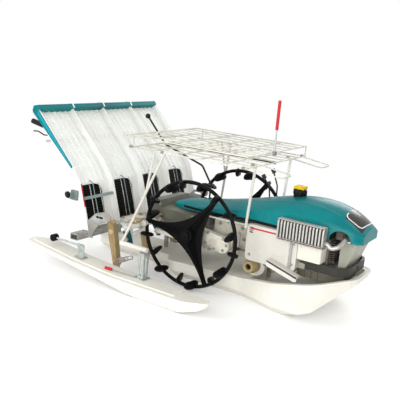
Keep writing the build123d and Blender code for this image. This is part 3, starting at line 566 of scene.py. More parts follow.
def spoke_ribs(shape):
    """Three pressed ribs on each face of each arm of the star, drawn together at its tip."""
    for turn in turns(SPOKES, FIRST_SPOKE):
        out = Vector((cos(turn), 0, sin(turn)))
        across = Vector((-sin(turn), 0, cos(turn)))
        for face in (-1, 1):
            for offset, reach, wide in ((0, 0.97, 0.0035), (0.35, 0.8, 0.0025), (-0.35, 0.8, 0.0025)):
                rings = []
                for share in spaced(0.1, 0.1 + 0.9 * reach, 9):
                    top = 0.0165 - 0.006 * share
                    spine = out * RING_RADIUS * share + across * offset * 0.075 * (1 - share) ** 1.5
                    section = ((-wide, 0.004), (wide, 0.004), (wide * 0.6, top), (-wide * 0.6, top))
                    rings.append([spine + across * a + Vector((0, face * b, 0)) for a, b in section])
                shape.skin(rings)


def wheel(side_name, side):
    """Rubber-coated ring with leaf-shaped paddles on a pressed three-pointed star."""
    form = Shape()
    circle = ellipse(RING_THICKNESS, RING_THICKNESS, 10)
    form.skin([
        [((RING_RADIUS + a) * cos(turn), b, (RING_RADIUS + a) * sin(turn)) for a, b in circle]
        for turn in turns(72)
    ], closed=True)
    for lug, turn in enumerate(turns(LUGS, pi / LUGS)):
        way = 1 if lug % 2 else -1
        middle = WHEEL_RADIUS - LUG_HEIGHT / 2 - 0.003
        out = Matrix.Translation((0, way * LUG_SHIFT * side, middle))
        skew = Matrix.Rotation(way * LUG_SKEW, 4, "Z")
        form.add(wheel_lug(), Matrix.Rotation(turn, 4, "Y") @ out @ skew)
    form.slab(star_outline(), -STAR_THICKNESS / 2, STAR_THICKNESS / 2)
    spoke_ribs(form)
    end, chamfer = HUB_WIDTH / 2, 0.008
    form.turned([
        (-end, 0.026), (-end, 0.038), (chamfer - end, HUB_RADIUS),
        (end - chamfer, HUB_RADIUS), (end, 0.038), (end, 0.026),
    ], (0, 0, 0), LEFTWARD)
    for turn in turns(SPOKES, FIRST_SPOKE + pi / SPOKES):
        for face in (-1, 1):
            form.bolt((0.034 * cos(turn), face * 0.034, 0.034 * sin(turn)), (0, face, 0), 0.009)
    node = f"wheel_{side_name}"
    low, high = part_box(node)
    placed = Shape().add(form, Matrix.Translation((low + high) / 2))
    placed.become(f"{node}_detail", "black_rubber", node, replaced=[node], bevel=0.0015)


def axle_cap(side_name, side):
    """Rubber cap on the end of the swing case's axle stub."""
    wheel_low, wheel_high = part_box(f"wheel_{side_name}")
    axle_height = (wheel_low.z + wheel_high.z) / 2
    axle_end = max(side * corner.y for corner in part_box(f"swing_case_{side_name}"))
    profile = [
        (-0.0075, 0.0132), (-0.0075, 0.021), (-0.005, 0.023), (0.003, 0.021), (0.006, 0.014),
        (0.0065, 0.004),
    ]
    cap = Shape().turned(profile, (0, side * axle_end, axle_height), (0, side, 0), 24)
    cap.become(f"axle_cap_{side_name}", "black_rubber")


# ---- bonnet ------------------------------------------------------------------------------
hood = Solid("bonnet", "bonnet_window")
window_low, window_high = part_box("bonnet_window")
# How high the bonnet's lower edge is along its length, as pairs of x and z.
BONNET_EDGE = ((-0.29, 0.425), (0.0, 0.446), (0.33, 0.473), (0.62, 0.475), (0.86, 0.473), (0.972, 0.471))
EXHAUST_OPENING = 0.802
BONNET_NOSE = 0.965


def bonnet_edge_trim():
    """Black edging above the lower edge, which on the right stops at the exhaust opening."""
    trim = Shape()
    for side, end in ((-1, EXHAUST_OPENING), (1, BONNET_NOSE)):
        line = [(x, side * OUTSIDE, read_off(BONNET_EDGE, x) + 0.002) for x in spaced(-0.2, end, 41)]
        trim.skin(hood.strip(line, (0, -side, 0), width=0.014, height=0.0015))
    trim.become("bonnet_edge_trim", "black_plastic")


def window_frame():
    """Thin white frame round the window, narrower and rounder at the nose."""
    half = [
        (window_low.x, 0), (window_low.x, 0.098), (window_high.x - 0.012, 0.092),
        (window_high.x - 0.002, 0),
    ]
    outline = rounded(half + [(x, -y) for x, y in half[-2::-1]], 0.03)
    above = [(x, y, OUTSIDE) for x, y in outline]
    frame_strip = Shape().skin(hood.strip(above, DOWN, width=0.006, height=0.0015))
    frame_strip.become("window_frame", "white_plastic")


def bonnet_crease(side_name, side):
    """A raised crease along the top, further out towards the nose."""
    line = [(x, side * (0.0645 + 0.055 * x), OUTSIDE) for x in spaced(0.05, 0.84, 31)]
    crease = Shape().skin(hood.strip(line, DOWN, width=0.007, height=0.0012))
    crease.become(f"bonnet_crease_{side_name}", "teal_paint")


def fuel_cap():
    """Black cap with six lobes and a yellow cross-shaped grip on top."""
    cap_low, cap_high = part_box("fuel_cap")
    middle_x = (cap_low.x + cap_high.x) / 2
    lobed = [(turn, 0.0395 + 0.0038 * cos(6 * turn) ** 3) for turn in turns(96)]
    body = Shape().skin([
        [(middle_x + reach * share * cos(turn), reach * share * sin(turn), cap_high.z - 0.053 + up)
         for turn, reach in lobed]
        for up, share in ((0.0, 0.96), (0.004, 1.0), (0.026, 1.0), (0.032, 0.93), (0.034, 0.8))
    ])
    body.turned([(0, 0.036), (0.03, 0.036)], (middle_x, 0, cap_low.z + 0.004), UP)
    body.become("fuel_cap_body", "black_plastic", replaced=["fuel_cap"], bevel=THICK_EDGE)

    grip = Shape()
    foot = (middle_x, 0, cap_high.z - 0.0185)
    profile = [(0, 0.03), (0.014, 0.03), (0.018, 0.025), (0.018, 0.012), (0.014, 0.01), (0.014, 0.002)]
    grip.turned(profile, foot, UP)
    for turn in turns(4, pi / 4):
        rib = Shape().block((0.008, -0.0055, 0), (0.0405, 0.0055, 0.0165))
        grip.add(rib, Matrix.Translation(foot) @ Matrix.Rotation(turn, 4, "Z"))
    grip.become("fuel_cap_grip", "black_plastic", bevel=0.0012, finish=YELLOW)


# ---- exhaust guard, side cover and air box -----------------------------------------------
guard_low, guard_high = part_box("muffler_guard")
cover_low, cover_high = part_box("side_cover")
box_low, box_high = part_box("air_box")
cover = Solid("side_cover")
GUARD_DEPTH = 0.046
GUARD_CORNER = 0.014
GUARD_FINS = 15
FIN_THICKNESS = 0.0096
guard_back = guard_low.y + GUARD_DEPTH


def exhaust_guard():
    """A row of upright fins with rounded corners, between rails, over a dark sheet painted as the shade in
    the gaps between the fins.
    """
    foot = guard_low.z + 0.008
    middle = (foot + guard_high.z - 0.004) / 2
    lower_half = [(guard_back, foot)] + [
        (guard_low.y + GUARD_CORNER * (1 - sin(turn)), foot + GUARD_CORNER * (1 - cos(turn)))
        for turn in spaced(0, pi / 2, 6)
    ]
    fin = lower_half + [(y, 2 * middle - z) for y, z in lower_half[::-1]]
    guard = Shape()
    for x in spaced(guard_low.x + 0.005, guard_high.x - 0.005, GUARD_FINS):
        guard.slab(fin, x - FIN_THICKNESS / 2, x + FIN_THICKNESS / 2, "X")
    guard.block(
        (guard_low.x, guard_back - 0.004, guard_low.z),
        (guard_high.x, guard_back + 0.004, guard_high.z - 0.002),
    )
    for low, high, set_back in (
        (guard_low.z, guard_low.z + 0.004, 0.002),
        (guard_low.z + 0.009, guard_low.z + 0.013, 0.0),
        (guard_high.z - 0.005, guard_high.z, 0.004),
    ):
        guard.block((guard_low.x, guard_low.y + set_back, low), (guard_high.x, guard_back, high))
    guard.block((0.6, guard_back, guard_low.z), (0.7, guard_high.y, guard_low.z + 0.006))
    for x in (guard_low.x + 0.02, guard_high.x - 0.02):
        guard.bolt((x, guard_low.y + 0.02, guard_high.z - 0.0055), UP, 0.008)
    guard.become("muffler_guard_fins", "bright_steel", replaced=["muffler_guard"], bevel=0.0022)

    # A dark sheet just in front of the bright back plate: painted shade for the gaps between the fins.
    gap_shade = Shape().block(
        (guard_low.x + 0.006, guard_back - 0.0055, guard_low.z + 0.014),
        (guard_high.x - 0.006, guard_back - 0.0042, guard_high.z - 0.006),
    )
    gap_shade.become("muffler_gap_painted_shade", "dark_paint")


def cover_stripe_and_seams():
    """The red stripe along the side cover's top, and the seams between its panels."""
    inward = LEFTWARD
    top, bottom = cover_high.z - 0.021, cover_low.z + 0.012
    stripe = Shape()
    line = evenly((cover_low.x + 0.02, -OUTSIDE, top), (guard_low.x - 0.004, -OUTSIDE, top), 12)
    stripe.skin(cover.strip(line, inward, width=0.009, height=0.0008))
    stripe.become("cover_red_stripe", "red_plastic")

    seams = Shape()
    upright = evenly((0.598, -OUTSIDE, guard_low.z - 0.006), (0.598, -OUTSIDE, bottom), 8)
    level = evenly((0.36, -OUTSIDE, 0.318), (0.585, -OUTSIDE, 0.318), 8)
    seams.skin(cover.strip(upright, inward, width=0.006, height=0.0005))
    seams.skin(cover.strip(level, inward, width=0.004, height=0.0004))
    seams.become("cover_seams", "grey_casting")


def cover_fittings():
    """The side cover's bolts and three small vents, and the stay that carries the guard."""
    places = ((0.365, 0.285), (0.365, 0.43), (0.5, 0.28), (0.632, 0.29), (0.632, 0.41))
    starts = [(x, -OUTSIDE, z) for x, z in places]
    bolted("cover_bolts", "side_cover", starts, LEFTWARD, "zinc", 0.011)

    vents = Shape()
    for foot in (0.442, 0.428, 0.414):
        vents.block((0.352, cover_low.y - 0.0006, foot), (0.376, cover_low.y + 0.002, foot + 0.006))
    vents.become("cover_vents", "black_plastic", bevel=0.0006)

    stay = Shape()
    back, top = cover_low.y - 0.0005, guard_low.z - 0.001
    stay.block((0.612, cover_low.y - 0.006, cover_low.z + 0.02), (0.628, back, top))
    stay.block((0.612, cover_low.y - 0.016, top - 0.005), (0.628, back, top))
    for z in (0.29, 0.395):
        stay.bolt((0.62, cover_low.y - 0.006, z), RIGHTWARD, 0.01)
    stay.become("guard_stay", "zinc", bevel=SHEET_EDGE)


def air_box_lid():
    """A raised lid with two bolts on the air cleaner box."""
    front = box_low.y - 0.003
    lid = Shape().block(
        (box_low.x + 0.004, front, box_low.z + 0.01),
        (box_high.x - 0.016, box_low.y + 0.001, box_high.z - 0.014),
    )
    for x in (box_low.x + 0.02, box_high.x - 0.03):
        lid.bolt((x, front, box_high.z - 0.026), RIGHTWARD, 0.009)
    lid.become("air_box_lid", "white_plastic", bevel=0.0025, finish=BOX_PLASTIC)


# ---- engine and nose ---------------------------------------------------------------------
engine_low, engine_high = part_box("engine_block")
CYLINDER_FINS = 11


def cylinder():
    """Cooling fins and the cylinder head in front of the engine block, with its spark plug."""
    cylinder_fins = Shape()
    middle_fin = CYLINDER_FINS // 2
    for fin in range(CYLINDER_FINS):
        foot = engine_low.z + 0.012 + fin * 0.0125
        inset = 0.012 * abs(fin - middle_fin) / middle_fin
        cylinder_fins.block(
            (engine_high.x - 0.004, inset - 0.1, foot),
            (engine_high.x + 0.034 - inset, 0.1 - inset, foot + 0.004),
        )
    head = [(0, 0.05), (0.012, 0.05), (0.018, 0.044), (0.03, 0.04), (0.03, 0.02)]
    cylinder_fins.turned(head, (engine_high.x + 0.002, -0.02, 0.375), FORWARD)
    for side in (-1, 1):
        for x in (0.81, 0.83):
            cylinder_fins.bolt((x, side * 0.104, 0.33), (0, side, 0), 0.012)
        for z in (0.315, 0.435):
            cylinder_fins.bolt((engine_high.x, side * 0.095, z), FORWARD, 0.014)
    cylinder_fins.become("engine_cylinder_fins", "dark_casting", bevel=THICK_EDGE)

    plug = Shape()
    profile = [(0, 0.009), (0.018, 0.009), (0.022, 0.006), (0.03, 0.006)]
    plug.turned(profile, (0.828, -0.055, 0.41), (0.6, -0.1, 0.6), 16)
    plug.become("spark_plug", "black_plastic")


def nose_panels():
    """The heat panel behind the exhaust opening, and the cheeks of the nose panel."""
    panel = Shape()
    outline = [(0.826, 0.462), (0.925, 0.462), (0.925, 0.51), (0.88, 0.54), (0.826, 0.555)]
    panel.slab(outline, -0.106, -0.102)
    panel.become("exhaust_heat_panel", "dark_casting", bevel=0.002)

    cheeks = Shape()
    outline = [(0.862, 0.296), (0.898, 0.296), (0.955, 0.458), (0.862, 0.458)]
    inner, outer = 0.1055, 0.1105
    for side in (-1, 1):
        cheeks.slab(outline, side * inner, side * outer)
        for x, z in ((0.875, 0.32), (0.875, 0.44), (0.925, 0.44)):
            cheeks.bolt((x, side * outer, z), (0, side, 0), 0.01)
    cheeks.become("nose_panel_cheeks", "olive_paint", bevel=THICK_EDGE)


def undertray():
    """Ribbed tray below the engine, narrower towards the nose."""
    tray = Shape()
    half = [(0.43, 0.152), (0.8, 0.152), (0.9, 0.1)]
    outline = [(x, -y) for x, y in half] + half[::-1]
    tray.slab(outline, 0.218, 0.2685, "Z")
    for rib in range(9):
        x = 0.455 + rib * 0.038
        for side in (-1, 1):
            tray.block((x, side * 0.151, 0.222), (x + 0.01, side * 0.159, 0.264))
    tray.become("engine_undertray", "dark_paint", bevel=0.002, finish=DARK_OLIVE)


def recoil_starter():
    """Black starter housing on the engine's left, with slots and three bolts."""
    centre = Vector((0.6, 0.1175, 0.376))
    starter = Shape()
    profile = [
        (0, 0.05), (0, 0.064), (0.02, 0.064), (0.03, 0.058), (0.034, 0.05), (0.034, 0.03),
        (0.03, 0.028), (0.03, 0.004),
    ]
    starter.turned(profile, centre, LEFTWARD, 40)
    for turn in turns(12):
        slat = Shape().block((0.034, 0.033, -0.0022), (0.052, 0.0365, 0.0022))
        starter.add(slat, Matrix.Translation(centre) @ Matrix.Rotation(turn, 4, "Y"))
    for turn in turns(3, pi / 4):
        starter.bolt(centre + Vector((0.057 * cos(turn), 0.03, 0.057 * sin(turn))), LEFTWARD, 0.009)
    starter.become("recoil_starter", "black_plastic", bevel=THICK_EDGE)


def step_plate_rims():
    """The step's folded outer rim and its raised tread edge."""
    step_low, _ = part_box("step_plate")
    rims = Shape()
    rim = [
        (0.501, 0.2985), (0.695, 0.2435), (0.691, 0.216), (0.676, 0.212), (0.508, 0.26), (0.5, 0.268)
    ]
    tread = [(0.503, 0.2997), (0.6945, 0.2450), (0.6945, 0.2425), (0.503, 0.2972)]
    rims.slab(rim, step_low.y, step_low.y + 0.004)
    rims.slab(tread, step_low.y, step_low.y + 0.045)
    rims.become("step_plate_rims", "white_paint", bevel=THICK_EDGE)


def drive_cup_details():
    """The drive cup's hole, painted as a dark disc of shade with a stub in its middle, its bolts and the
    white shroud behind it.
    """
    cup_low, cup_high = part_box("drive_cup")
    x, z = 0.362, 0.203
    # A black disc with a stub in its middle paints the shade in the cup's hole.
    socket = Shape()
    profile = [(0.0, 0.0185), (0.004, 0.0185), (0.004, 0.006), (0.01, 0.005)]
    socket.turned(profile, (x, cup_low.y + 0.022, z), RIGHTWARD, 24)
    socket.become("drive_cup_hole_painted_shade", "black_plastic")

    shroud = Shape()
    profile = [(0, 0.05), (0, 0.064), (0.004, 0.068), (0.012, 0.068), (0.014, 0.06)]
    shroud.turned(profile, (0.368, -0.134, 0.2), LEFTWARD, 40)
    shroud.become("drive_cup_shroud", "white_paint")

    bolts = Shape()
    for turn in turns(3, pi / 2):
        place = (x + 0.041 * cos(turn), cup_high.y - 0.052, z + 0.041 * sin(turn))
        bolts.bolt(place, RIGHTWARD, 0.008)
    bolts.become("drive_cup_bolts", "zinc")


# ---- seedling table ----------------------------------------------------------------------
ROWS = 4
ROW_PITCH = 0.3
RIBS_A_ROW = 18
# How far forward the table's face is at each height, as pairs of z and x.
TABLE_FACE = ((0.266, -0.637), (0.53, -0.705), (0.625, -0.775), (0.945, -1.085))
BELT_MARGIN, BELT_WIDTH = 0.016, 0.2
BELT_FLOOR, BELT_TOP = 0.28, 0.524
table_low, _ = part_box("seedling_table")
table = Solid("seedling_table")


def on_face(y, z, proud=0.0):
    """A point on the table's face at a height, or a little proud of it."""
    return read_off(TABLE_FACE, z) + proud, y, z


def table_fine_ribs():
    """Pairs of fine ribs down each slide: a strip on the slope, lapped by one round the bend."""
    slope, bend = (0.928, 0.85, 0.76, 0.68, 0.632), (0.61, 0.58, 0.548, 0.535)
    off_slope, off_bend = Vector((0.3, 0, 0.3)), Vector((0.3, 0, 0.1))
    ribs = Shape()
    for rib in range(ROWS * RIBS_A_ROW):
        if rib % 3 == 2:
            continue
        y = table_low.y + (rib + 1) * ROW_PITCH / RIBS_A_ROW
        upper = [Vector(on_face(y, z)) + off_slope for z in slope]
        lower = upper[-1:] + [Vector(on_face(y, z)) + off_bend for z in bend]
        for starts, back in ((upper, off_slope), (lower, off_bend)):
            ribs.skin(table.strip(starts, -back, width=0.004, height=0.0014))
    ribs.become("table_fine_ribs", "white_plastic", "table")


def belt_opening_corners():
    """White fillets that round the top corners of the belt openings."""
    fillets = Shape()
    for row in range(ROWS):
        right = table_low.y + row * ROW_PITCH + BELT_MARGIN
        for y, way, reach in ((right, 1, 0.022), (right + BELT_WIDTH, -1, 0.062)):
            outline = [(y, BELT_TOP)] + [
                (y + way * reach * (1 - cos(turn)), BELT_TOP - reach * (1 - sin(turn)))
                for turn in spaced(0, pi / 2, 7)
            ]
            fillets.skin([[on_face(a, z, proud) for a, z in outline] for proud in (0.0005, 0.0105)])
    fillets.become("belt_opening_corners", "white_plastic", "table", angle=50)


def mat_wires():
    """Two thin wires over each belt, hooked in above it."""
    wires = Shape()
    for row in range(ROWS):
        for share in (0.42, 0.86):
            y = table_low.y + row * ROW_PITCH + BELT_MARGIN + share * BELT_WIDTH
            hook_x = on_face(y, BELT_TOP, 0.018)[0]
            foot_x = on_face(y, BELT_FLOOR, 0.024)[0]
            wires.tube([
                on_face(y, BELT_TOP + 0.004, 0.008), (hook_x, y, BELT_TOP - 0.008),
                on_face(y, 0.4, 0.024), (foot_x, y, BELT_FLOOR + 0.004),
            ], 0.0018, 0.01, 8)
    wires.become("mat_wires", "bright_steel", "table")


def table_trims():
    """The red stripe, the cyan band on the right end and the joints between the caps."""
    y = table_low.y + 0.0065
    stripe = Shape()
    line = evenly((-0.3, y, 0.546), (-0.3, y, 0.408), 8)
    stripe.skin(table.strip(line, BACKWARD, width=0.0095, height=0.0012))
    stripe.become("table_red_stripe", "red_plastic", "table")

    caps_low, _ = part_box("table_caps")
    band = Shape()
    outline = [
        (-1.052, 0.946), (-0.93, 0.8285), (-0.746, 0.6425), (-0.7475, 0.6365), (-0.82, 0.6975),
        (-0.94, 0.81), (-1.055, 0.926),
    ]
    band.slab(outline, caps_low.y - 0.0012, caps_low.y - 0.0002)
    band.become("table_end_band", "teal_plastic", "table", finish=CYAN)

    joints = Shape()
    outline = [
        (-1.1079, 0.948), (-1.098, 0.983), (-1.0517, 0.983), (-1.0354, 0.958), (-1.0876, 0.9245)
    ]
    for row in range(1, ROWS):
        y = table_low.y + row * ROW_PITCH
        joints.slab(outline, y - 0.006, y + 0.006)
    joints.become("cap_joints", "white_plastic", "table")


def table_back_ribs():
    """Stiffening ribs on the back of the table, one between rows and three across them."""
    outward = Vector((1, 0, 1))
    ribs = Shape()

    def rib(line, width):
        ribs.skin(table.strip([Vector(point) - 0.3 * outward for point in line], outward, width, 0.003))

    right, left = table_low.y + 0.02, table_low.y + ROWS * ROW_PITCH - 0.02
    for row in range(ROWS + 1):
        y = min(max(table_low.y + row * ROW_PITCH, right), left)
        rib(evenly((-1.07, y, 0.92), (-0.8, y, 0.643), 8), 0.012)
        rib(evenly((-0.785, y, 0.625), (-0.73, y, 0.55), 8), 0.012)
    for share in (0.12, 0.5, 0.88):
        x, z = 0.27 * share - 1.06, 0.905 - 0.27 * share
        rib(evenly((x, right, z), (x, left, z), 30), 0.01)
    ribs.become("table_back_ribs", "white_plastic", "table")


def row_stop_knob():
    """Black knob at the right end of the bar across the mat guides."""
    guide_low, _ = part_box("mat_guides")
    knob = Shape()
    profile = [(0, 0.01), (0.004, 0.019), (0.02, 0.021), (0.028, 0.015), (0.03, 0.004)]
    knob.turned(profile, (-0.722, guide_low.y + 0.012, 0.478), (-0.35, -0.75, -0.2), 20)
    knob.become("row_stop_knob", "black_plastic", "table", bevel=THICK_EDGE)


# ---- planting unit -----------------------------------------------------------------------
INNER_ROW, OUTER_ROW = 0.15, 0.45
ARM_FACE = 0.02
# The middles of the crank pin and the feed shaft, as x and z.
CRANK_PIN = (-0.46, 0.279)
FEED_SHAFT = (-0.318, 0.338)
SHAFT_START, SHAFT_END = 0.166, 0.535
SHAFT_RADIUS, COLLAR_RADIUS = 0.015, 0.021


def arm_ribs(side_name, side):
    """A raised rib, bolts and the crank pin's cap on each face of the planting arms."""
    outline = [(-0.478, 0.315), (-0.462, 0.315), (-0.42, 0.085), (-0.428, 0.085)]
    ribs = Shape()
    for row_y in (side * INNER_ROW, side * OUTER_ROW):
        for face in (-1, 1):
            y = row_y + face * ARM_FACE
            ribs.slab(outline, y - face * 0.001, y + face * 0.0025)
            for x, z, size in ((-0.47, 0.322, 0.014), (-0.44, 0.2, 0.009), (-0.418, 0.1, 0.01)):
                ribs.bolt((x, y, z), (0, face, 0), size)
            pin = (CRANK_PIN[0], y, CRANK_PIN[1])
            ribs.turned([(0, 0.018), (0.003, 0.018), (0.0045, 0.012)], pin, (0, face, 0), 24)
    ribs.become(f"arm_ribs_{side_name}", "brass_zinc", f"arms_{side_name}", bevel=THICK_EDGE)


def claw_plates(side_name, side):
    """The plates that hold the wire claws at the feet of the planting arms."""
    outline = [
        (-0.414, 0.12), (-0.385, 0.132), (-0.352, 0.124), (-0.346, 0.11), (-0.372, 0.098),
        (-0.395, 0.088), (-0.414, 0.088),
    ]
    half = 0.006
    plates = Shape()
    for row_y in (side * INNER_ROW, side * OUTER_ROW):
        plates.slab(outline, row_y - half, row_y + half)
        for face in (-1, 1):
            plates.bolt((-0.4, row_y + face * half, 0.106), (0, face, 0), 0.008)
    plates.become(f"claw_plates_{side_name}", "bright_steel", f"arms_{side_name}", bevel=THICK_EDGE)


def planting_guides():
    """Teal pressings below the planting beam, one for each row."""
    outline = [
        (-0.388, 0.318), (-0.362, 0.318), (-0.334, 0.262), (-0.322, 0.228), (-0.332, 0.222),
        (-0.348, 0.252), (-0.376, 0.288),
    ]
    pressings = Shape()
    for inner, outer in ((0.13, 0.17), (0.417, 0.457)):
        for side in (-1, 1):
            pressings.slab(outline, side * inner, side * outer)
    pressings.become("planting_guides", "teal_plastic", bevel=0.003)


def feed_shaft(side_name, side):
    """A white shaft with two collars, which turns in brackets on the planting beam."""
    length = SHAFT_END - SHAFT_START
    profile = [(0, 0.008), (0, SHAFT_RADIUS)]
    for start in (0.09, 0.16):
        end = start + 0.012
        profile += [(start, SHAFT_RADIUS), (start, COLLAR_RADIUS)]
        profile += [(end, COLLAR_RADIUS), (end, SHAFT_RADIUS)]
    profile += [(length - 0.03, SHAFT_RADIUS), (length - 0.03, 0.01), (length, 0.01), (length, 0.004)]
    x, z = FEED_SHAFT
    shaft = Shape().turned(profile, (x, side * SHAFT_START, z), (0, side, 0), 20)
    shaft.become(f"feed_shaft_{side_name}", "white_paint")

    outline = [
        (-0.345, 0.318), (-0.298, 0.318), (-0.298, 0.352), (-0.312, 0.364), (-0.36, 0.372),
        (-0.372, 0.362), (-0.345, 0.35),
    ]
    half = 0.004
    brackets = Shape()
    for y in (0.215, 0.385, 0.5):
        brackets.slab(outline, side * (y - half), side * (y + half))
        brackets.bolt((x, side * (y + half), z), (0, side, 0), 0.016)
    for y in (0.19, 0.245, 0.355, 0.41, 0.52):
        brackets.bolt((-0.367, side * y, 0.36), UP, 0.014)
    brackets.become(f"feed_shaft_brackets_{side_name}", "zinc", bevel=SHEET_EDGE)


def shaft_guards(side_name, side):
    """Bent guards over the feed shaft."""
    outline = [
        (-0.352, 0.362), (-0.34, 0.378), (-0.31, 0.381), (-0.296, 0.372), (-0.3, 0.364),
        (-0.336, 0.3595),
    ]
    guards = Shape()
    for y in (0.2, 0.4):
        guards.slab(outline, side * (y - 0.03), side * (y + 0.03))
        guards.bolt((-0.325, side * y, 0.38), UP, 0.012)
    guards.become(f"shaft_guards_{side_name}", "brass_zinc", bevel=0.0015)


def beam_fittings(side_name, side):
    """Dark stays down from the planting beam, beside the guides, and clamps on the beam."""
    stays = Shape()
    for top, foot in ((0.185, 0.185), (0.48, 0.46)):
        points = [(-0.352, top, 0.305), (-0.315, foot, 0.262), (-0.3, foot, 0.236)]
        stays.tube([(x, side * y, z) for x, y, z in points], 0.006, 0.015)
        stays.bolt((-0.352, side * top, 0.309), (-0.2, 0, 1), 0.012)
    stays.become(f"guide_stays_{side_name}", "dark_paint")

    clamps = Shape()
    for y in (0.23, 0.45):
        for foot, top in ((0.308, 0.3125), (0.3575, 0.3615)):
            clamps.block((-0.366, side * (y - 0.018), foot), (-0.34, side * (y + 0.018), top))
    clamps.become(f"beam_clamps_{side_name}", "zinc", bevel=SHEET_EDGE)


def planting_case_bolts(side_name, side):
    """Bolts on both faces of the planting case."""
    bolts = Shape()
    for x, z in ((-0.475, 0.345), (-0.41, 0.34), (-0.41, 0.3)):
        bolts.bolt((x, side * 0.34, z), LEFTWARD, 0.01)
        bolts.bolt((x, side * 0.26, z), RIGHTWARD, 0.01)
    bolts.become(f"planting_case_bolts_{side_name}", "zinc")


def drive_housing(side_name, side):
    """White tube round the drive shaft from the gearbox to the planting beam."""
    start, end = Vector((0.075, side * 0.186, 0.243)), Vector((-0.325, side * 0.2, 0.27))
    flange, tube, sleeve = 0.018, 0.0125, 0.0155
    profile = [
        (0, 0.008), (0, flange), (0.03, flange), (0.03, tube), (0.19, tube), (0.19, sleeve),
        (0.21, sleeve), (0.21, tube), (0.37, tube), (0.37, flange), (0.395, flange), (0.395, 0.008),
    ]
    housing = Shape().turned(profile, start, end - start, 18)
    for along in (0.015, 0.383):
        place = start.lerp(end, along / (end - start).length)
        housing.bolt(place + Vector((0, side * 0.017, 0)), (0, side, 0), 0.01)
    housing.become(f"drive_housing_{side_name}", "white_paint")


def table_rail():
    """The rail's flanges and end frames, and dark plates painted as the shade inside the rail's open ends.
    """
    _, rail_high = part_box("table_rail")
    front, rear, foot, top, wall = -0.585, -0.64, 0.224, 0.262, 0.005
    end = rail_high.y
    flanges = Shape()
    for z in (0.2265, 0.2475):
        flanges.block((front - 0.001, 0.004 - end, z), (front + 0.003, end - 0.004, z + 0.009))
    for side in (-1, 1):
        for corner, opposite in (
            ((rear, foot), (front, foot + wall)),
            ((rear, top - wall), (front, top)),
            ((rear, foot + wall), (-0.634, top - wall)),
        ):
            flanges.block(
                (corner[0], side * (end - 0.001), corner[1]),
                (opposite[0], side * (end + 0.002), opposite[1]),
            )
        for y in (0.56, 0.6):
            flanges.bolt((-0.61, side * y, top), UP, 0.014)
    flanges.become("table_rail_flanges", "zinc", bevel=SHEET_EDGE)

    # Thin dark plates in the rail's ends: painted shade for the inside of the open tube.
    end_shade = Shape()
    for side in (-1, 1):
        inner, outer = side * (end - 0.001), side * (end + 0.0004)
        end_shade.block((-0.634, inner, foot + wall), (-0.586, outer, top - wall))
    end_shade.become("table_rail_end_painted_shade", "dark_paint")


# ---- castings' bolts and ribs, rods and clamps -------------------------------------------
# Name, node, slot and head size of each set, and where its bolts are, as pairs of x and z.
CASTING_BOLTS = (
    ("swing_case_bolts", "swing_case_{}", "zinc", 0.013, (
        (0.03, 0.362), (0.09, 0.357), (0.15, 0.354), (0.2, 0.34), (0.222, 0.305), (0.2, 0.27),
        (0.14, 0.268), (0.08, 0.29),
    )),
    ("gearbox_bolts", "gearbox", "zinc", 0.015, (
        (0.255, 0.395), (0.27, 0.33), (0.265, 0.25), (0.1, 0.395), (0.09, 0.245),
    )),
    ("rear_cover_bolts", "rear_cover", "zinc", 0.012, (
        (-0.33, 0.435), (-0.2, 0.435), (-0.3, 0.33), (-0.08, 0.4), (0.02, 0.4), (-0.15, 0.31),
    )),
    ("base_bolts", "engine_base", "bright_steel", 0.012, (
        (0.46, 0.285), (0.7, 0.285), (0.78, 0.285), (0.86, 0.285),
    )),
)


def casting_bolts(side_name, side):
    """Bolt heads on the outer faces of the castings and covers."""
    for name, node, slot, size, places in CASTING_BOLTS:
        starts = [(x, side * OUTSIDE, z) for x, z in places]
        bolted(f"{name}_{side_name}", node.format(side_name), starts, (0, -side, 0), slot, size)


def gearbox_ribs(side_name, side):
    """Three upright ribs on the gearbox's outer face."""
    ribs = Shape()
    for x in (0.235, 0.256, 0.277):
        ribs.block((x, side * 0.197, 0.252), (x + 0.006, side * 0.204, 0.398))
    ribs.become(f"gearbox_ribs_{side_name}", "grey_casting", bevel=0.0012)


def gear_linkage():
    """Two bright links on the gearbox's right face, bolted at their ends."""
    y = -0.2035
    corners = [(0.09, 0.246), (0.286, 0.296), (0.286, 0.39)]
    links = Shape()
    for start, end in zip(corners, corners[1:]):
        links.tube([(x, y, z) for x, z in (start, end)], 0.0055)
        for x, z in (start, end):
            links.bolt((x, y - 0.0045, z), RIGHTWARD, 0.013)
    links.become("gear_linkage", "bright_steel")


def shift_rods():
    """The white and the dark rod along the top of the gearbox, and the plates below them."""
    white = Shape()
    white.tube([(0.03, -0.178, 0.437), (0.2, -0.182, 0.437), (0.333, -0.184, 0.444)], 0.0055, 0.03)
    white.become("shift_rod_white", "white_paint")

    dark = Shape().tube([(0.045, -0.166, 0.431), (0.2, -0.17, 0.4325), (0.333, -0.17, 0.436)], 0.0038, 0.03)
    for x in (0.07, 0.19, 0.3):
        dark.block((x, -0.191, 0.4285), (x + 0.008, -0.16, 0.4315))
    dark.become("shift_rod_dark", "dark_paint")


def select_rod():
    """The gear lever's rod, which runs forward under the rack in three sleeves."""
    height = 0.7955
    rod = Shape()
    rod.tube([(-0.436, 0, 0.786), (-0.4, 0, 0.793), (-0.1, 0, height), (0.362, 0, height)], 0.0045, 0.03)
    for x in (-0.22, 0.09, 0.355):
        sleeve = [(-0.008, 0.0065), (-0.008, 0.0085), (0.008, 0.0085), (0.008, 0.0065)]
        rod.turned(sleeve, (x, 0, height + 0.001), FORWARD, 14)
    rod.become("select_rod", "dark_paint")


def rack_clamps():
    """Round clamps on the wires of the rack's lower tier."""
    profile = [(-0.009, 0.0072), (-0.009, 0.0086), (0.009, 0.0086), (0.009, 0.0072)]
    clamps = Shape()
    for side in (-1, 1):
        for x, y in ((-0.42, 0.375), (0.36, 0.375), (-0.185, 0.375), (0.334, 0.225)):
            clamps.turned(profile, (x, side * y, 0.805), FORWARD, 12)
    clamps.become("rack_clamps", "zinc")


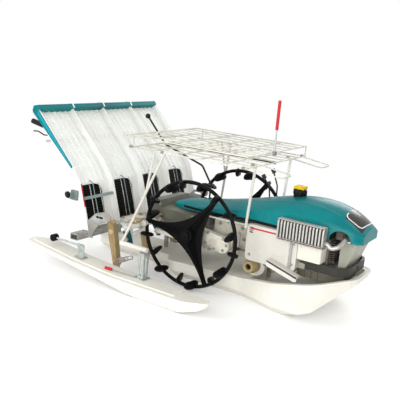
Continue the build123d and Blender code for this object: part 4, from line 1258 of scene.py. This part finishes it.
# ---- floats' fittings --------------------------------------------------------------------
# How high the centre float's rim is along its length, as pairs of x and z.
FLOAT_TOP = ((-0.88, 0.096), (-0.195, 0.104), (0.33, 0.128), (0.62, 0.19), (0.985, 0.272))
hull = Solid("centre_float")


def float_rim_bead(side_name, side):
    """A round bead along the rim of the centre float."""
    run = []
    for x in spaced(-0.86, 0.96, 91):
        place, _ = hull.touch((x, side * OUTSIDE, read_off(FLOAT_TOP, x) - 0.006), (0, -side, 0))
        if place:
            run.append(place + Vector((0, 0, 0.003)))
    bead = Shape().tube(run, 0.0052, 0.002, 8)
    bead.become(f"float_rim_bead_{side_name}", "float")


def stern_roller(side_name, side):
    """Rubber tyre on the roller behind the side float."""
    end, tread, inner = 0.021, 0.0225, 0.012
    profile = [(-end, inner), (-end, 0.019), (-0.018, tread), (0.018, tread), (end, 0.019), (end, inner)]
    roller = Shape().turned(profile, (-0.822, side * 0.581, 0.18), LEFTWARD, 28)
    roller.become(f"stern_roller_{side_name}", "black_rubber")


def depth_lever_grip(side_name, side):
    """Red grip on the depth lever, along the float."""
    points = [
        (-0.334, 0.589, 0.0975), (-0.342, 0.5895, 0.0978), (-0.376, 0.5925, 0.0985),
        (-0.384, 0.593, 0.0987),
    ]
    grip = Shape().tube([(x, side * y, z) for x, y, z in points], 0.0095, 0.004, 14)
    grip.become(f"depth_lever_grip_{side_name}", "red_plastic", bevel=0.002)


# ---- assembly ----------------------------------------------------------------------------
for make in (
    bonnet_edge_trim, window_frame, fuel_cap, exhaust_guard, cover_stripe_and_seams,
    cover_fittings, air_box_lid, cylinder, nose_panels, undertray, recoil_starter,
    step_plate_rims, drive_cup_details, table_fine_ribs, belt_opening_corners, mat_wires,
    table_trims, table_back_ribs, row_stop_knob, planting_guides, table_rail, gear_linkage,
    shift_rods, select_rod, rack_clamps,
):
    make()
for side_name, side in SIDES:
    for make in (
        wheel, axle_cap, bonnet_crease, arm_ribs, claw_plates, feed_shaft, shaft_guards,
        beam_fittings, planting_case_bolts, drive_housing, casting_bolts, gearbox_ribs,
        float_rim_bead, stern_roller, depth_lever_grip,
    ):
        make(side_name, side)


# ---- camera, lights and floor ------------------------------------------------------------
def camera_for(place, heading, drop, roll, view_width):
    """Stands at a place, turned by its heading, looking down by its drop, for a view angle."""
    data = bpy.data.cameras.new("camera")
    data.lens = data.sensor_width / 2 / tan(radians(view_width) / 2)
    data.clip_end = 60
    camera = bpy.data.objects.new("camera", data)
    level = Euler((radians(90 - drop), 0, radians(heading)), "XYZ").to_matrix()
    rolled = level @ Matrix.Rotation(radians(roll), 3, "Z")
    camera.matrix_world = Matrix.Translation(place) @ rolled.to_4x4()
    scene.collection.objects.link(camera)
    scene.camera = camera


def lamp(name, place, aim, size, power):
    """A round soft lamp, turned to its aim."""
    data = bpy.data.lights.new(name, "AREA")
    data.shape = "DISK"
    data.size = size
    data.energy = power
    light = bpy.data.objects.new(name, data)
    light.location = place
    light.rotation_euler = (Vector(aim) - Vector(place)).to_track_quat("-Z", "Y").to_euler()
    scene.collection.objects.link(light)


def sky():
    """White surroundings to look at, which light the machine a little less."""
    light = 0.78
    world = bpy.data.worlds.new("studio")
    scene.world = world
    graph = Graph(world)
    strength = light + (1 - light) * graph.surroundings()
    background = graph.value("Background", (), {"Color": WHITE, "Strength": strength})
    graph.node("OutputWorld", (), {0: background})


def floor_finish():
    """Pale floor that looks white, most of all far out, and still takes the shadow."""
    f = Finish("studio_floor")
    far = f.value("VectorMath", {"operation": "LENGTH"}, {0: f.place}, out="Value").between(1.6, 2.8)
    pale = f.value("BsdfDiffuse", (), {"Color": (0.93, 0.93, 0.93, 1)})
    white = f.value("Emission", (), {"Color": WHITE, "Strength": 1.0})
    glow = f.value("Emission", (), {"Color": WHITE, "Strength": 0.12})
    near = f.value("AddShader", (), {0: pale, 1: glow})
    seen = f.value("MixShader", (), {0: far, 1: near, 2: white})
    whole = f.value("MixShader", (), {0: f.surroundings(), 1: pale, 2: seen})
    f.node("OutputMaterial", (), {0: whole})
    return f.material


def studio_floor(reach):
    """A large level floor just below the floats."""
    z = cad_low.z - 0.0005
    corners = [(-reach, -reach, z), (reach, -reach, z), (reach, reach, z), (-reach, reach, z)]
    mesh = bpy.data.meshes.new("studio_floor")
    mesh.from_pydata(corners, [], [(0, 1, 2, 3)])
    mesh.materials.append(floor_finish())
    floor = bpy.data.objects.new("studio_floor", mesh)
    scene.collection.objects.link(floor)


camera_for((1.982, -3.351, 1.408), heading=32.288, drop=13.278, roll=5.004, view_width=34.77)
middle = (cad_low + cad_high) / 2
lamp("softbox_front", (1.4, -4.2, 1.5), middle, size=3.0, power=52)
lamp("fill_low", (0.9, -3.2, 0.7), (0.3, 0, 0.15), size=1.8, power=18)
lamp("softbox_left", (-2.6, -3.0, 2.4), middle, size=2.6, power=46)
lamp("softbox_right", (3.8, -1.6, 2.2), middle, size=2.4, power=15)
lamp("softbox_back", (0.0, 3.6, 2.6), middle, size=2.4, power=55)
sky()
studio_floor(reach=14)
